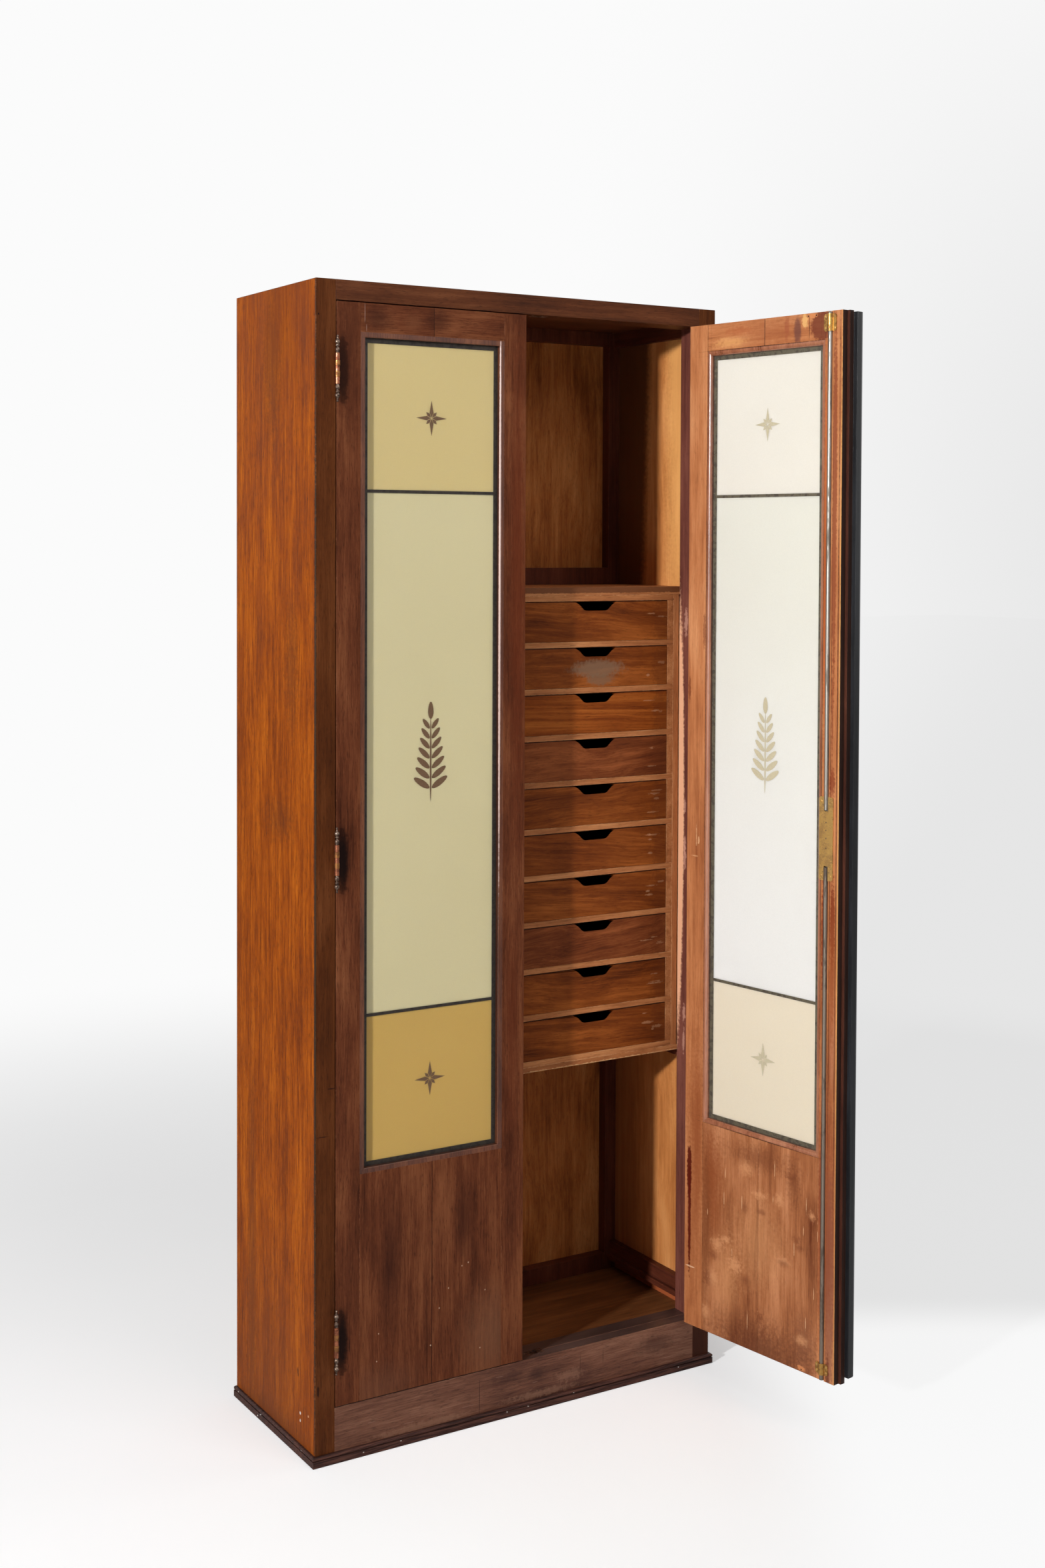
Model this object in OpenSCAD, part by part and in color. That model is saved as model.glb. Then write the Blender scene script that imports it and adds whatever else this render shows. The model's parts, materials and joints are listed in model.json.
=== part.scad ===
// Tall two-door card file cabinet with a chest of ten shallow drawers in its right bay.
// Millimetres, +Z up. The origin is the centre of the base, and the front faces -Y.
// A door is drawn flat: x runs from its hinge edge, y from its outer face inwards.

/* [Carcass] */
// Width over the side panels
cabinet_w = 827; // [800:1:880]
// Depth from the front frame to the back edge of the sides
cabinet_d = 330; // [320:1:400]
// Height of the cabinet
cabinet_h = 2000; // [1960:1:2100]
// Thickness of the side panels
side_t = 11.5; // [9:0.5:16]
// Width of a front post, seen from the front
post_w = 37; // [34:0.5:44]
// Depth of the front posts and of the rails between them
post_d = 57; // [50:1:62]
// Thickness of the post lip that covers the side panel's front edge
post_lip = 3; // [2:0.5:5]
// Height of the rail over the doors
top_rail_h = 34; // [30:1:44]
// Height of the rail under the doors
kick_h = 93; // [80:1:110]
// Thickness of the board in the rail under the doors
kick_t = 25; // [18:1:34]
// Thickness of the top panel
top_t = 18; // [14:1:24]
// Thickness of the floor board
floor_t = 18; // [12:1:24]
// Drop from the sill to the floor board
floor_step = 2; // [1:0.5:6]
// Thickness of the back panel
back_t = 6; // [4:0.5:8]
// How far the back panel lies in from the sides' back edge
back_inset = 2; // [1:0.5:5]
// Depth of the back posts and rails
back_frame_d = 23; // [18:1:28]
// Height of the top back rail
back_rail_top_h = 26; // [20:1:34]
// Height of the middle and lower back rails
back_rail_h = 33; // [24:1:40]
// Thickness of the middle partition
partition_t = 18; // [14:1:22]
// Distance from the middle of the cabinet to the middle of the partition
partition_shift = 13; // [12:0.5:16]
// Thickness of the base bearers
bearer_t = 20; // [16:1:30]
// Distance between the base bearers
bearer_pitch = 200; // [150:5:240]
// Open joint between two pieces that meet
seam = 0.1; // [0.05:0.05:0.2]

/* [Moulding] */
// Height of the base moulding
moulding_h = 18; // [14:1:26]
// Projection of the base moulding
moulding_out = 6; // [5:0.5:12]
// Radius of the moulding's rounded edge
moulding_r = 3.5; // [2:0.5:4.5]

/* [Side rails and shelves] */
// Thickness of the rails on the side panels
side_rail_t = 14; // [10:1:18]
// Height of the upper side rails
side_rail_top_h = 29; // [22:1:36]
// Height of the lower side rails
side_rail_low_h = 26; // [20:1:34]
// Height of the underside of the lower side rails above the floor
side_rail_low_z = 31; // [24:1:40]
// Height of the cleat under the lower side rail
cleat_h = 11; // [8:1:16]
// Thickness of the cleat under the lower side rail
cleat_t = 20; // [16:1:24]
// Thickness of the left bay's shelves
shelf_t = 18; // [14:1:22]
// Size of the bearers under the shelves and the chest
batten = 16; // [12:1:20]
// How far the battens and shelves are set back from the front posts
batten_setback = 10; // [5:1:40]

/* [Doors] */
// Thickness of the doors
door_t = 22; // [20:0.5:24]
// Width of the door stiles
stile_w = 45; // [42:0.5:52]
// Height of the door's top rail
door_rail_h = 49; // [42:1:60]
// Height of the flush panel at the foot of the door
foot_panel_h = 391; // [320:0.5:420]
// Gap between a door and the post beside it
hinge_gap = 1.5; // [1:0.1:2]
// Gap over the doors
door_top_gap = 2; // [1:0.1:3]
// Gap under the doors
door_sill_gap = 1.5; // [1:0.1:3]
// Gap between the outer faces of the doors
meeting_gap = 6.5; // [5:0.1:8]
// Distance from the cabinet's middle to the left door's outer edge
meeting_shift = 3; // [2:0.1:4]
// Thickness of the lip on the right door's meeting edge
lip_t = 10; // [8:0.5:11]
// Width of the lip on the right door's meeting edge
lip_w = 5.5; // [4:0.1:6.5]
// Width of the hidden lip on the left door's meeting edge
left_lip_w = 6; // [3:0.1:6]
// Clearance between the two lips, front to back
lip_gap = 0.6; // [0.4:0.1:1.5]
// Dark joint between two boards of a door
board_gap = 0.3; // [0.2:0.1:0.6]
// Angle that the right door stands open
door_angle = 99; // [90:1:120]

/* [Glass] */
// Width of the mouldings round the glass
bead_w = 9; // [8:0.5:12]
// Radius of the quarter round on the mouldings of the inner side
bead_r = 6.5; // [5:0.5:7.5]
// Radius of the edge on the flush mouldings of the outer side
outer_bead_r = 1.5; // [0.5:0.5:3]
// Thickness of the glass
glass_t = 4; // [3:0.5:5]
// Thickness of a metal flange that grips the glass
came_flange = 1; // [0.8:0.1:1.5]
// Width of the metal frame seen beside the moulding
came_w = 8; // [6:0.5:10]
// Width of the metal bars between the panes
bar_w = 5.4; // [3.2:0.1:6]
// Thickness of the web inside a bar
bar_web = 1.2; // [1:0.1:1.6]
// Clearance of a pane in its groove
glass_gap = 0.2; // [0.1:0.1:0.4]
// Distance from the door's top to the upper bar
upper_bar_drop = 316; // [260:1:400]
// Height of the lower bar above the door's foot
lower_bar_rise = 659.5; // [600:0.5:720]

/* [Hinges] */
// Radius of the hinge's brass knuckles
knuckle_r = 4.4; // [4:0.1:5]
// Radius of the hinge's copper knuckles
thin_knuckle_r = 3.9; // [3.6:0.1:4]
// Radius of the hinge pin
pin_r = 2.2; // [1.8:0.1:2.5]
// Clearance between the pin and a knuckle
pin_gap = 0.08; // [0.05:0.01:0.1]
// Length of an outer knuckle
end_knuckle = 11.6; // [10:0.1:13]
// Length of each brass knuckle
brass_knuckle = 9.3; // [8:0.1:11]
// Length of the middle knuckle
mid_knuckle = 8.6; // [7:0.1:10]
// Gap between knuckles
knuckle_gap = 0.25; // [0.2:0.05:0.4]
// Clearance between a knuckle and the wood behind it
knuckle_back_gap = 0.5; // [0.3:0.1:1]
// Half the gap between the two leaves of a hinge
leaf_gap = 0.35; // [0.2:0.05:0.4]
// Thickness of a hinge leaf
leaf_t = 2; // [1.5:0.1:2.4]
// Depth of a hinge leaf behind the cabinet's front
leaf_d = 18; // [14:0.5:19]
// Length of the turned finial at each end of the hinge
finial_h = 30; // [24:0.5:36]
// Height of the lowest hinge's middle above the door's foot
low_hinge_z = 112; // [90:1:160]
// Height of the middle hinge's middle above the door's foot
mid_hinge_z = 932.5; // [850:0.5:1000]
// Distance from the door's top to the upper hinge's middle
top_hinge_drop = 113; // [90:1:150]

/* [Door lock] */
// Radius of the lock rods
rod_r = 4; // [3.5:0.1:4.4]
// Clearance round a lock rod
rod_gap = 0.4; // [0.3:0.05:0.6]
// Height of the rod's axis over the door's inner face
rod_out = 1; // [0.5:0.1:1.5]
// Distance from the glass edge of the stile to the rods
rod_inset = 12.2; // [12.2:0.1:14]
// Travel of the rods
rod_travel = 10; // [8:0.5:10]
// Distance from a rod's outer end to the door's end when the lock is open
rod_end_inset = 2; // [1:0.1:3]
// Height of the lock above the door's foot
lock_z = 954.5; // [900:0.5:1000]
// Height of the lock plate
lock_plate_h = 146; // [136:1:160]
// Width of the lock plate
lock_plate_w = 31.4; // [29:0.2:33]
// Thickness of the lock plate and guide plates
plate_t = 1.5; // [1:0.1:2]
// Length of the rod slots in the lock plate
slot_l = 25; // [22:0.5:27]
// Chamfer on the corners of the lock's plates
plate_chamfer = 3; // [1.5:0.1:3.5]
// How far the lock case stops short of its plate, at each end
case_inset = 11; // [10:0.5:13]
// Depth of the lock case in the stile
case_d = 11.5; // [11:0.1:12]
// Wall of the lock case
case_wall = 1; // [0.8:0.1:1.1]
// Radius of the lock's spindle
spindle_r = 3; // [2.5:0.1:3.2]
// Clearance round the spindle and over the knob's plate
spindle_gap = 0.3; // [0.2:0.05:0.4]
// Thickness of the spindle's disc
disc_t = 2.4; // [2:0.1:2.6]
// Clearance under the disc and beside the rods' forks in the case
case_gap = 0.6; // [0.4:0.1:0.8]
// Width of the disc's rim outside the driving pins
disc_rim = 1; // [0.5:0.1:1.2]
// Radius of the driving pins on the disc
drive_pin_r = 1.3; // [1:0.1:1.4]
// Thickness of the forks on the rods' inner ends
fork_t = 3; // [2.4:0.1:3.2]
// Depth of the forks below the door's inner face
fork_in = 5; // [4.6:0.1:5.2]
// Width of the flat shank between a fork and its rod
shank_w = 6; // [4:0.2:7]
// Clearance of a driving pin in its fork
fork_gap = 0.5; // [0.4:0.05:0.6]
// Wall of a fork beyond the driving pin
fork_wall = 1.5; // [1:0.1:2]
// Height of a fork's arm
fork_arm_h = 4; // [3:0.2:5]
// Height over the lock's middle at which the forks' arms begin
fork_arm_z = 12; // [10:0.5:14]
// Distance from the inner end of a rod's slot to the end of its round part
rod_slot_end = 2; // [1:0.5:2.5]
// Height of the upper rod guide
upper_guide_h = 30; // [24:1:36]
// Height of the lower rod guide
lower_guide_h = 20; // [16:1:26]
// Width of the rod guides
guide_w = 28; // [26:0.5:30]
// Wall of a guide's bridge over the rod
guide_wall = 1.5; // [1:0.1:2]
// Distance from the door's top to the upper guide
upper_guide_drop = 5; // [3:0.5:12]
// Distance from the door's foot to the lower guide
lower_guide_rise = 11.5; // [6:0.5:16]
// Radius of the screws
screw_r = 1.2; // [1:0.1:1.4]
// Radius of the screw heads
screw_head_r = 2.3; // [2:0.1:2.4]
// Height of the screw heads
screw_head_h = 0.6; // [0.4:0.1:1]
// Length of the screws in the wood
screw_l = 8; // [5:0.5:9]
// Distance from the lock plate's screws to its long edges
plate_screw_x = 5.5; // [4.8:0.1:6]
// Distance from the lock plate's screws to its ends
plate_screw_z = 8; // [7:0.5:8.5]
// Distance from a guide's screws to its long edges
guide_screw_x = 3.6; // [3:0.1:4]
// Distance from a guide's screws to its ends
guide_screw_z = 5; // [4:0.2:6]
// Width of a strike plate
strike_w = 34; // [30:1:38]
// Depth of a strike plate
strike_d = 18; // [15:0.5:20]
// Thickness of a strike plate
strike_t = 1.5; // [1:0.1:2]
// Clearance round a rod in its strike plate
strike_gap = 1.5; // [1:0.1:2]
// Room over a shot rod in the hole behind its strike plate
strike_room = 6; // [3:0.5:10]

/* [Knob and cover strip] */
// Radius of the plate under the turn knob
rose_r = 12; // [10:0.5:13]
// Length of the knob's stem
knob_stem = 12; // [8:0.5:16]
// Radius of the knob's stem
knob_stem_r = 5; // [4:0.1:6]
// Height of the knob's grip
grip_h = 24; // [18:0.5:25]
// Thickness of the knob's grip
grip_t = 7; // [5:0.5:9]
// Projection of the knob's grip
grip_out = 14; // [10:0.5:18]
// Width of the strip that covers the joint of the doors
strip_w = 25; // [23:0.5:26]
// Projection of that strip from the door
strip_out = 22; // [16:0.5:26]
// How far that strip laps over the right door's lip
strip_lap = 8; // [7:0.1:9]
// Clearance between that strip and the left door
strip_gap = 0.4; // [0.3:0.05:0.8]
// How far the strip stops short of the door's foot
strip_foot_gap = 10; // [5:0.5:16]
// How far the strip stops short of the door's top
strip_top_gap = 2.5; // [1:0.5:6]

/* [Chest of drawers] */
// Height of the chest's underside above the floor
chest_z = 594; // [520:1:620]
// Thickness of the chest's top board
chest_top_t = 15; // [12:0.5:18]
// Thickness of the chest's bottom board
chest_bottom_t = 10; // [8:0.5:14]
// Thickness of the chest's sides
chest_side_t = 13.4; // [10:0.2:15]
// Gap between the chest and the partition
chest_gap = 0.3; // [0.2:0.1:1]
// Gap between the chest and the plane of the front posts' inner faces
chest_post_gap = 0.8; // [0.4:0.1:1.5]
// Gap behind the chest
chest_back_gap = 4; // [1:0.5:20]
// Thickness of the chest's back
chest_back_t = 5; // [3:0.5:8]
// Height of the rail between two drawers
drawer_rail_h = 10.45; // [8:0.05:12]
// Depth of the rail between two drawers
drawer_rail_d = 16; // [10:1:20]
// Height of a drawer's opening
drawer_opening_h = 74.6; // [66:0.1:80]
// Clearance at each end of a drawer
drawer_side_gap = 1; // [0.6:0.1:1.6]
// Clearance over a drawer's front
drawer_top_gap = 0.8; // [0.5:0.1:1.5]
// Clearance under a drawer
drawer_lift = 0.5; // [0.3:0.1:0.8]
// Clearance between the drawers and the open door
door_pass_gap = 0.8; // [0.5:0.1:2]
// Width of a runner under a drawer's side
runner_w = 12; // [8:0.5:16]
// Thickness of the drawer fronts
drawer_front_t = 14; // [12:0.5:17]
// Thickness of the drawer sides and back
drawer_side_t = 8; // [6:0.5:10]
// Height of the drawer sides and back
drawer_side_h = 56; // [40:0.5:60]
// Thickness of the drawer bottom
drawer_bottom_t = 4; // [3:0.5:6]
// Height of the drawer bottom over the drawer's lower edge
drawer_bottom_z = 4; // [2:0.5:6]
// Clearance behind a drawer
drawer_back_gap = 6; // [3:0.5:12]
// Width of the finger notch at its top
notch_top_w = 83; // [70:1:100]
// Width of the finger notch at its bottom
notch_low_w = 50; // [40:1:60]
// Depth of the finger notch
notch_d = 17; // [12:0.5:18]

/* [Hidden] */
$fn = 48;

drawer_count = 10;
shelf_count = 3;
// How far a cutting shape reaches past the surface that it cuts
over = 1;

half_w = cabinet_w / 2;
inner_x = half_w - side_t;
opening_x = half_w - post_w;
front_y = -cabinet_d / 2;
back_y = cabinet_d / 2;
post_back_y = front_y + post_d;
back_panel_y = back_y - back_inset - back_t;
back_frame_y = back_panel_y - back_frame_d;
inside_top_z = cabinet_h - top_t;
floor_z = kick_h - floor_step;
partition_x0 = -partition_shift - partition_t / 2;
partition_x1 = -partition_shift + partition_t / 2;
batten_y = post_back_y + batten_setback;

// Doors
door_z0 = kick_h + door_sill_gap;
door_z1 = cabinet_h - top_rail_h - door_top_gap;
hinge_edge_x = opening_x - hinge_gap;
left_door_w = hinge_edge_x - meeting_shift;
right_door_w = hinge_edge_x - meeting_gap + meeting_shift;
glazing_z0 = door_z0 + foot_panel_h;
glazing_z1 = door_z1 - door_rail_h;
came_t = glass_t + 2 * came_flange;
bead_d = (door_t - came_t) / 2;
sight = bead_w + came_w;
upper_bar_z = door_z1 - upper_bar_drop;
lower_bar_z = door_z0 + lower_bar_rise;

// Hinges: the pin stands in front of the gap between door and post
pivot_x = opening_x - hinge_gap / 2;
pivot_out = knuckle_r + knuckle_back_gap;
pivot_y = front_y - pivot_out;
barrel_h = 2 * end_knuckle + 2 * brass_knuckle + mid_knuckle + 4 * knuckle_gap;
hinge_heights = [door_z0 + low_hinge_z, door_z0 + mid_hinge_z, door_z1 - top_hinge_drop];

// Lock
rod_x = right_door_w - stile_w + rod_inset;
rod_y = door_t + rod_out;
lock_mid_z = door_z0 + lock_z;
rod_bore_r = rod_r + rod_gap;
drive_r = rod_travel / sqrt(2);
fork_reach = drive_r + drive_pin_r + fork_gap + fork_wall;
case_half_w = fork_reach + case_gap + case_wall;
case_half_h = lock_plate_h / 2 - case_inset;
case_y = door_t - case_d;
disc_y = case_y + case_wall + case_gap;
fork_y = door_t - fork_in;
pin_offset = drive_r / sqrt(2);
upper_guide_z = door_z1 - upper_guide_drop - upper_guide_h;
lower_guide_z = door_z0 + lower_guide_rise;
strike_hole_r = rod_r + strike_gap;
strike_hole_d = rod_travel + strike_room;
strike_x = hinge_edge_x - rod_x;
strike_y = front_y + rod_y;

// Chest
chest_x0 = partition_x1 + chest_gap;
chest_x1 = opening_x - chest_post_gap;
chest_y1 = back_frame_y - chest_back_gap;
drawer_pitch = drawer_opening_h + drawer_rail_h;
first_rail_z = chest_z + chest_bottom_t;
chest_top_z = first_rail_z + drawer_count * drawer_pitch + drawer_rail_h;
drawer_x1 = pivot_x - door_t - pivot_out - door_pass_gap;
drawer_mid_x = (chest_x0 + chest_x1) / 2;
drawer_x0 = 2 * drawer_mid_x - drawer_x1;
drawer_box_y = post_back_y + drawer_front_t;
drawer_box_l = chest_y1 - chest_back_t - drawer_back_gap - drawer_box_y;

// A box between two corners
module block(low, high) {
    translate(low) cube(high - low);
}

// The same shape on both sides of the cabinet
module both_sides() {
    children();
    mirror([1, 0, 0]) children();
}

// Stands a door piece in the left doorway, closed
module in_left_door() {
    translate([-hinge_edge_x, front_y, 0]) children();
}

// Stands a door piece in the right doorway, turned open about the hinge pins
module in_right_door() {
    translate([pivot_x, pivot_y, 0]) rotate([0, 0, door_angle]) translate([-pivot_x, -pivot_y, 0])
        translate([hinge_edge_x, front_y, 0]) mirror([1, 0, 0]) children();
}

module side_panels() {
    color("#b5622c") both_sides()
        block([inner_x, front_y + post_lip, 0], [half_w, back_y, cabinet_h]);
}

// Pocket in a post for the leaves of its three hinges
module post_leaf_pockets() {
    for (z = hinge_heights)
        block([pivot_x + leaf_gap, front_y - over, z - barrel_h / 2],
              [pivot_x + leaf_gap + leaf_t, front_y + leaf_d, z + barrel_h / 2]);
}

module front_posts() {
    color("#5a2c1a") both_sides() difference() {
        union() {
            block([opening_x, front_y, 0], [inner_x, post_back_y, cabinet_h]);
            block([inner_x, front_y, 0], [half_w, front_y + post_lip, cabinet_h]);
        }
        post_leaf_pockets();
    }
}

module back_frame() {
    color("#5a2c1a") {
        both_sides() block([opening_x, back_frame_y, 0], [inner_x, back_panel_y, inside_top_z]);
        for (z = [floor_z, chest_top_z + chest_top_t]) back_rail(z, back_rail_h);
        back_rail(inside_top_z - back_rail_top_h, back_rail_top_h);
    }
}

module back_rail(z, height) {
    block([-opening_x + seam, back_frame_y, z], [opening_x - seam, back_panel_y, z + height]);
}

module top_panel() {
    color("#8a4a26") block([-inner_x, post_back_y, inside_top_z], [inner_x, back_y, cabinet_h]);
}

module top_front_rail() {
    color("#5a2c1a") difference() {
        block([-opening_x, front_y, cabinet_h - top_rail_h], [opening_x, post_back_y, cabinet_h]);
        strike_pocket(cabinet_h - top_rail_h, 1);
    }
}

// Seat of a strike plate and the hole behind it, going up or down from a face at height z
module strike_pocket(z, side) {
    translate([strike_x, strike_y, z]) mirror([0, 0, side < 0 ? 1 : 0]) {
        translate([-strike_w / 2, -strike_d / 2, -over]) cube([strike_w, strike_d, strike_t + over]);
        cylinder(r = strike_hole_r, h = strike_hole_d);
    }
}

module strike_plate(z, side) {
    translate([strike_x, strike_y, z]) mirror([0, 0, side < 0 ? 1 : 0]) difference() {
        translate([-strike_w / 2, -strike_d / 2, 0]) cube([strike_w, strike_d, strike_t]);
        translate([0, 0, -over]) cylinder(r = strike_hole_r, h = strike_t + 2 * over);
    }
}

module strike_plates() {
    color("#6b5a3a") {
        strike_plate(cabinet_h - top_rail_h, 1);
        strike_plate(kick_h, -1);
    }
}

module kick_rail() {
    color("#5a2c1a") difference() {
        union() {
            block([-opening_x, front_y, 0], [opening_x, front_y + kick_t - seam, kick_h]);
            block([-opening_x, front_y + kick_t, kick_h - floor_t], [opening_x, post_back_y, kick_h]);
        }
        strike_pocket(kick_h, -1);
    }
}

module floor_board() {
    color("#a0562c") difference() {
        block([-inner_x, post_back_y, floor_z - floor_t], [inner_x, back_panel_y, floor_z]);
        both_sides() block([opening_x, back_frame_y, 0], [half_w, back_y, cabinet_h]);
    }
}

// One rail on the inner face of the right-hand side panel
module side_rail(z, height, thickness) {
    block([inner_x - thickness, post_back_y, z], [inner_x, back_frame_y, z + height]);
}

// A bearer from one x to another under a board whose underside is at height z
module bearer(x0, x1, z) {
    block([x0, batten_y, z - batten], [x1, back_frame_y, z]);
}

module side_battens() {
    color("#7a3c20") {
        both_sides() {
            side_rail(inside_top_z - side_rail_top_h, side_rail_top_h, side_rail_t);
            side_rail(floor_z + side_rail_low_z, side_rail_low_h, side_rail_t);
            side_rail(floor_z + side_rail_low_z - cleat_h, cleat_h - seam, cleat_t);
        }
        bearer(inner_x - batten, inner_x, chest_z);
        bearer(partition_x1, partition_x1 + batten, chest_z);
        for (i = [1 : shelf_count]) {
            bearer(-inner_x, -inner_x + batten, shelf_height(i));
            bearer(partition_x0 - batten, partition_x0, shelf_height(i));
        }
    }
}

module back_panel() {
    color("#a8703c") block([-inner_x, back_panel_y, 0], [inner_x, back_panel_y + back_t, inside_top_z]);
}

module middle_partition() {
    color("#8a4a26")
        block([partition_x0, post_back_y, floor_z], [partition_x1, back_frame_y, inside_top_z]);
}

// Height of the underside of the left bay's shelf i, counted from the floor
function shelf_height(i) = floor_z + i * (inside_top_z - floor_z) / (shelf_count + 1);

module left_shelves() {
    color("#a0562c") for (i = [1 : shelf_count])
        block([-inner_x, batten_y, shelf_height(i)],
              [partition_x0, back_frame_y, shelf_height(i) + shelf_t]);
}

// Cross-section of the base moulding: x outwards, y up
module moulding_section() {
    square([moulding_out, moulding_h - 2 * moulding_r]);
    square([moulding_out - moulding_r, moulding_h]);
    translate([moulding_out - moulding_r, moulding_h - 2 * moulding_r]) intersection() {
        translate([0, moulding_r]) circle(r = moulding_r);
        square([moulding_r, 2 * moulding_r]);
    }
}

// Mitred moulding that runs along a face, outwards to -y, its ends lapping the corners
module front_moulding() {
    long = half_w + moulding_out;
    intersection() {
        translate([-long, front_y, 0]) rotate([90, 0, 90]) linear_extrude(2 * long)
            mirror([1, 0]) moulding_section();
        linear_extrude(moulding_h) polygon([
            [-half_w, front_y], [-long, front_y - moulding_out],
            [long, front_y - moulding_out], [half_w, front_y],
        ]);
    }
}

module side_moulding() {
    long = cabinet_d + moulding_out;
    intersection() {
        translate([half_w, back_y, 0]) rotate([90, 0, 0]) linear_extrude(long) moulding_section();
        linear_extrude(moulding_h) polygon([
            [half_w, front_y + seam], [half_w + moulding_out, front_y - moulding_out + seam],
            [half_w + moulding_out, back_y], [half_w, back_y],
        ]);
    }
}

module base_moulding() {
    color("#3a1d14") {
        front_moulding();
        both_sides() side_moulding();
    }
}

module base_bearers() {
    color("#8a5a34") for (i = [-1 : 1]) translate([i * bearer_pitch, 0, 0])
        block([-bearer_t / 2, front_y + kick_t, 0], [bearer_t / 2, back_panel_y, floor_z - floor_t]);
}

// The chest's boards: top, bottom, two sides and a thin back
module chest_case() {
    color("#8a4a26") {
        block([chest_x0, post_back_y, chest_z], [inner_x, chest_y1, first_rail_z]);
        block([chest_x0, post_back_y, chest_top_z], [inner_x, chest_y1, chest_top_z + chest_top_t]);
        for (x = [chest_x0, chest_x1 - chest_side_t])
            block([x, post_back_y, first_rail_z + seam],
                  [x + chest_side_t, chest_y1 - chest_back_t - seam, chest_top_z - seam]);
        block([chest_x0, chest_y1 - chest_back_t, first_rail_z + seam],
              [chest_x1, chest_y1, chest_top_z - seam]);
    }
}

module drawer_rails() {
    color("#7a3c20") for (i = [0 : drawer_count]) translate([0, 0, first_rail_z + i * drawer_pitch])
        block([chest_x0 + chest_side_t, post_back_y, 0],
              [chest_x1 - chest_side_t, post_back_y + drawer_rail_d, drawer_rail_h]);
}

// Runners behind the rails, and guides that set the drawers in so that they pass the open door
module drawer_runners() {
    color("#7a3c20") translate([drawer_mid_x, 0, first_rail_z]) both_sides() {
        half = (chest_x1 - chest_x0) / 2 - chest_side_t;
        drawer_half = drawer_x1 - drawer_mid_x;
        for (i = [0 : drawer_count]) translate([0, 0, i * drawer_pitch])
            block([drawer_half - runner_w, post_back_y + drawer_rail_d, 0],
                  [half, chest_y1 - chest_back_t, drawer_rail_h]);
        for (i = [0 : drawer_count - 1]) translate([0, 0, i * drawer_pitch + drawer_rail_h])
            block([drawer_half + drawer_side_gap, post_back_y, seam],
                  [half, chest_y1 - chest_back_t, drawer_opening_h - seam]);
    }
}

// Height of the lower edge of drawer i, counted from the top
function drawer_z(i) = first_rail_z + drawer_rail_h + (drawer_count - i) * drawer_pitch + drawer_lift;

module drawer_front(i) {
    height = drawer_opening_h - drawer_lift - drawer_top_gap;
    color("#8f4a28") translate([0, 0, drawer_z(i)]) difference() {
        block([drawer_x0, post_back_y, 0], [drawer_x1, drawer_box_y, height]);
        translate([drawer_mid_x, drawer_box_y + over, height]) rotate([90, 0, 0])
            linear_extrude(drawer_front_t + 2 * over) polygon([
                [-notch_top_w / 2, over], [-notch_top_w / 2, 0], [-notch_low_w / 2, -notch_d],
                [notch_low_w / 2, -notch_d], [notch_top_w / 2, 0], [notch_top_w / 2, over],
            ]);
    }
}

module drawer_box(i) {
    back = drawer_box_y + drawer_box_l;
    low_x = drawer_x0 + drawer_side_t;
    high_x = drawer_x1 - drawer_side_t;
    color("#a0642f") translate([0, 0, drawer_z(i)]) {
        block([drawer_x0, drawer_box_y, 0], [low_x, back, drawer_side_h]);
        block([high_x, drawer_box_y, 0], [drawer_x1, back, drawer_side_h]);
        block([low_x + seam, back - drawer_side_t, 0], [high_x - seam, back, drawer_side_h]);
        block([low_x + seam, drawer_box_y, drawer_bottom_z],
              [high_x - seam, back - drawer_side_t - seam, drawer_bottom_z + drawer_bottom_t]);
    }
}

// One knuckle of a hinge, from height z0 up, drawn about the pin
module knuckle(z0, length, radius) {
    difference() {
        union() {
            translate([0, 0, z0]) cylinder(r = radius, h = length);
            translate([leaf_gap, 0, z0]) cube([leaf_t, pivot_out, length]);
        }
        translate([0, 0, z0 - over]) cylinder(r = pin_r + pin_gap, h = length + 2 * over);
    }
}

// The flat part of a leaf, on the +x side of the pin
module leaf_plate() {
    translate([leaf_gap, pivot_out, 0]) cube([leaf_t, leaf_d, barrel_h]);
}

// The leaf on the post: the outer and middle knuckles, on the +x side of the pin
module post_leaf() {
    mid_z = end_knuckle + brass_knuckle + 2 * knuckle_gap;
    leaf_plate();
    knuckle(0, end_knuckle, thin_knuckle_r);
    knuckle(mid_z, mid_knuckle, thin_knuckle_r);
    knuckle(barrel_h - end_knuckle, end_knuckle, thin_knuckle_r);
}

// The leaf on the door: the two brass knuckles, on the +x side of the pin
module door_leaf() {
    leaf_plate();
    knuckle(end_knuckle + knuckle_gap, brass_knuckle, knuckle_r);
    knuckle(barrel_h - end_knuckle - knuckle_gap - brass_knuckle, brass_knuckle, knuckle_r);
}

// Turned profile of a finial: radius and height as shares of the knuckle and of the finial
finial_turning = [
    [0.62, 0], [0.62, 0.06], [0.8, 0.12], [0.86, 0.19], [0.74, 0.27], [0.42, 0.32],
    [0.42, 0.36], [0.72, 0.4], [0.72, 0.45], [0.46, 0.49], [0.9, 0.56], [1, 0.62],
    [0.86, 0.7], [0.4, 0.78], [0.34, 0.88], [0.46, 0.93], [0.34, 0.98], [0, 1],
];

// Hinge pin with a finial at each end
module hinge_pin() {
    turning = [for (p = finial_turning) [p[0] * knuckle_r, p[1] * finial_h]];
    translate([0, 0, -knuckle_gap]) cylinder(r = pin_r, h = barrel_h + 2 * knuckle_gap);
    translate([0, 0, barrel_h + knuckle_gap]) rotate_extrude() polygon(concat([[0, 0]], turning));
    translate([0, 0, -knuckle_gap]) mirror([0, 0, 1]) rotate_extrude() polygon(concat([[0, 0]], turning));
}

module frame_hinge_leaves() {
    color("#b87350") both_sides() for (z = hinge_heights)
        translate([pivot_x, pivot_y, z - barrel_h / 2]) post_leaf();
}

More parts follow.
